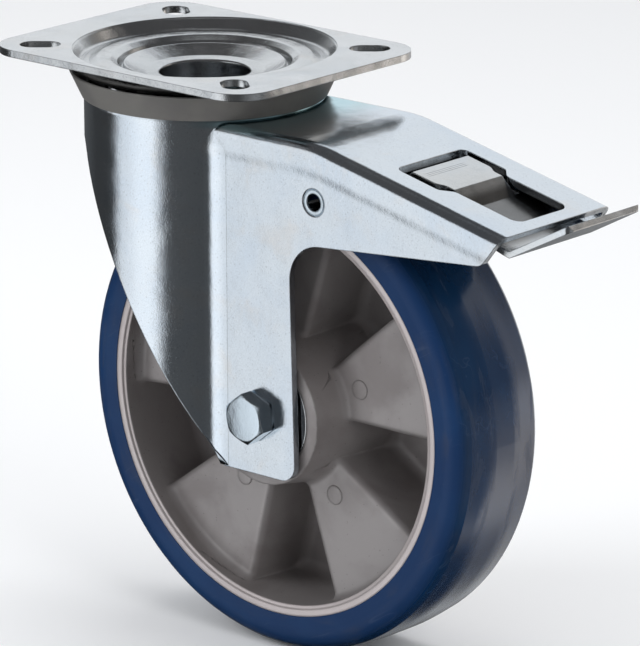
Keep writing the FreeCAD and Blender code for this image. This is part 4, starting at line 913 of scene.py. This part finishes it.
# %% Floor
FLOOR_HEIGHT = float(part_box("tyre")[0].z) - 0.0002
FLOOR_HALF = 6.0
floor_mesh = bpy.data.meshes.new("floor")
signs = ((-1, -1), (1, -1), (1, 1), (-1, 1))
corners = [(FLOOR_HALF * x, FLOOR_HALF * y, FLOOR_HEIGHT) for x, y in signs]
floor_mesh.from_pydata(corners, [], [(0, 1, 2, 3)])
floor = bpy.data.objects.new("floor", floor_mesh)
bpy.context.scene.collection.objects.link(floor)
floor_paint = bpy.data.materials.new("white table")
floor_paint.use_nodes = True
paint = floor_paint.node_tree.nodes["Principled BSDF"].inputs
paint["Base Color"].default_value = (0.93, 0.93, 0.93, 1.0)
paint["Roughness"].default_value = 0.9
floor_mesh.materials.append(floor_paint)
floor.visible_glossy = False
print("floor at", round(FLOOR_HEIGHT, 4), "m")

# %% World
TABLE = (
    # azimuth in degrees, brightness of what stands there below the horizon
    (-180, 0.04), (-143, 0.04), (-137, 0.80), (-128, 0.80), (-115, 1.00), (-97, 1.00), (-91, 0.45),
    (-86, 0.075), (-46, 0.06), (-25, 0.16), (20, 0.30), (40, 0.20), (49, 0.20), (55, 1.20), (74, 0.50),
    (118, 0.40), (128, 0.10), (180, 0.05),
)
WALLS = (
    # azimuth in degrees, brightness of what stands there above the horizon
    (-180, 0.08), (-150, 0.10), (-138, 0.80), (-100, 0.90), (-91, 0.30), (-82, 0.06), (-20, 0.05),
    (20, 0.12), (40, 0.06), (49, 0.08), (56, 0.60), (74, 0.12), (85, 0.25), (100, 0.75), (125, 0.80),
    (150, 0.80), (165, 0.30), (180, 0.08),
)
WARM_SECTOR, WARM, COOL = (30, 75), 0.07, -0.035
CEILING, ZENITH = (0.062, 0.062, 0.064), (0.22, 0.225, 0.23)
FAR_WALL_AZIMUTH = math.radians(125)
ROOM_BRIGHTNESS, SOFT_LIGHT = 1.15, (0.55, 0.56, 0.58)
world = bpy.data.worlds.new("studio")
bpy.context.scene.world = world
world.use_nodes = True
tree = world.node_tree
sight = add(tree, "TexCoord").outputs["Generated"]
direction = add(tree, "SeparateXYZ", {"Vector": sight}).outputs
azimuth = calc(tree, "ARCTAN2", direction[1], direction[0])
round_share = spread(tree, azimuth, -math.pi, math.pi, smooth=False)


def ring_of_light(steps):
    """A colour ramp round the horizon, from (azimuth, brightness) steps."""
    ramp = add(tree, "ValToRGB", {"Fac": round_share})
    stops = ramp.color_ramp.elements
    while len(stops) < len(steps):
        stops.new(0.5)
    for stop, (angle, light) in zip(stops, steps):
        tint = WARM if WARM_SECTOR[0] < angle < WARM_SECTOR[1] else COOL
        stop.position = (angle + 180) / 360
        stop.color = (light * (1 + tint), light, light * (1 - tint), 1.0)
    return ramp.outputs["Color"]


def scaled(colour, factor):
    """A colour multiplied by a number."""
    return add(tree, "VectorMath", {0: colour, "Scale": factor}, operation="SCALE").outputs[0]


# direction[2] is the sine of a ray's elevation. The spreads along it are soft borders.
far_wall = (math.cos(FAR_WALL_AZIMUTH), math.sin(FAR_WALL_AZIMUTH), 0.0)
facing = add(tree, "VectorMath", {0: sight, 1: far_wall}, operation="DOT_PRODUCT").outputs["Value"]
top_of_wall = spread(tree, facing, 0.0, 0.62, 0.33, 0.64)
above_wall = spread(tree, calc(tree, "SUBTRACT", direction[2], top_of_wall), 0.0, 0.14)
table = scaled(ring_of_light(TABLE), spread(tree, direction[2], -0.76, -0.58, 0.05, 1.0))
sides = blend(tree, spread(tree, direction[2], -0.12, 0.04), table, ring_of_light(WALLS))
overhead = blend(tree, spread(tree, direction[2], 0.93, 0.99), CEILING, ZENITH)
room = scaled(blend(tree, above_wall, sides, overhead), ROOM_BRIGHTNESS)
path = add(tree, "LightPath").outputs
mirrored = calc(tree, "MAXIMUM", path["Is Glossy Ray"], path["Is Transmission Ray"])
soft = blend(tree, mirrored, SOFT_LIGHT, room)
shown = blend(tree, path["Is Camera Ray"], soft, (1.0, 1.0, 1.0))
tree.links.new(shown, tree.nodes["Background"].inputs["Color"])
print("room:", len(TABLE), "steps round the table and", len(WALLS), "round the walls")

# %% Lamps
AIM = Vector((0.05, 0.0, -0.1))


def soft_box(name, spot, size, power, colour=(1.0, 1.0, 1.0)):
    """A rectangular area lamp at a point, turned towards the castor and unseen in reflections."""
    lamp = bpy.data.lights.new(name, "AREA")
    lamp.shape = "RECTANGLE"
    lamp.size, lamp.size_y = size
    lamp.energy = power
    lamp.color = colour
    holder = bpy.data.objects.new(name, lamp)
    bpy.context.scene.collection.objects.link(holder)
    holder.location = spot
    holder.rotation_euler = (AIM - Vector(spot)).to_track_quat("-Z", "Y").to_euler()
    holder.visible_glossy = False


soft_box("soft box left", (-1.2, -1.6, 1.0), (1.0, 1.4), 22.0, (0.96, 0.98, 1.0))
soft_box("soft box right", (2.0, -0.6, 0.8), (0.8, 1.2), 14.0)
soft_box("soft box above", (0.0, 0.4, 1.8), (1.6, 1.2), 16.0)
bpy.context.scene.view_settings.view_transform = "Standard"
print("lamps: 3 soft boxes")
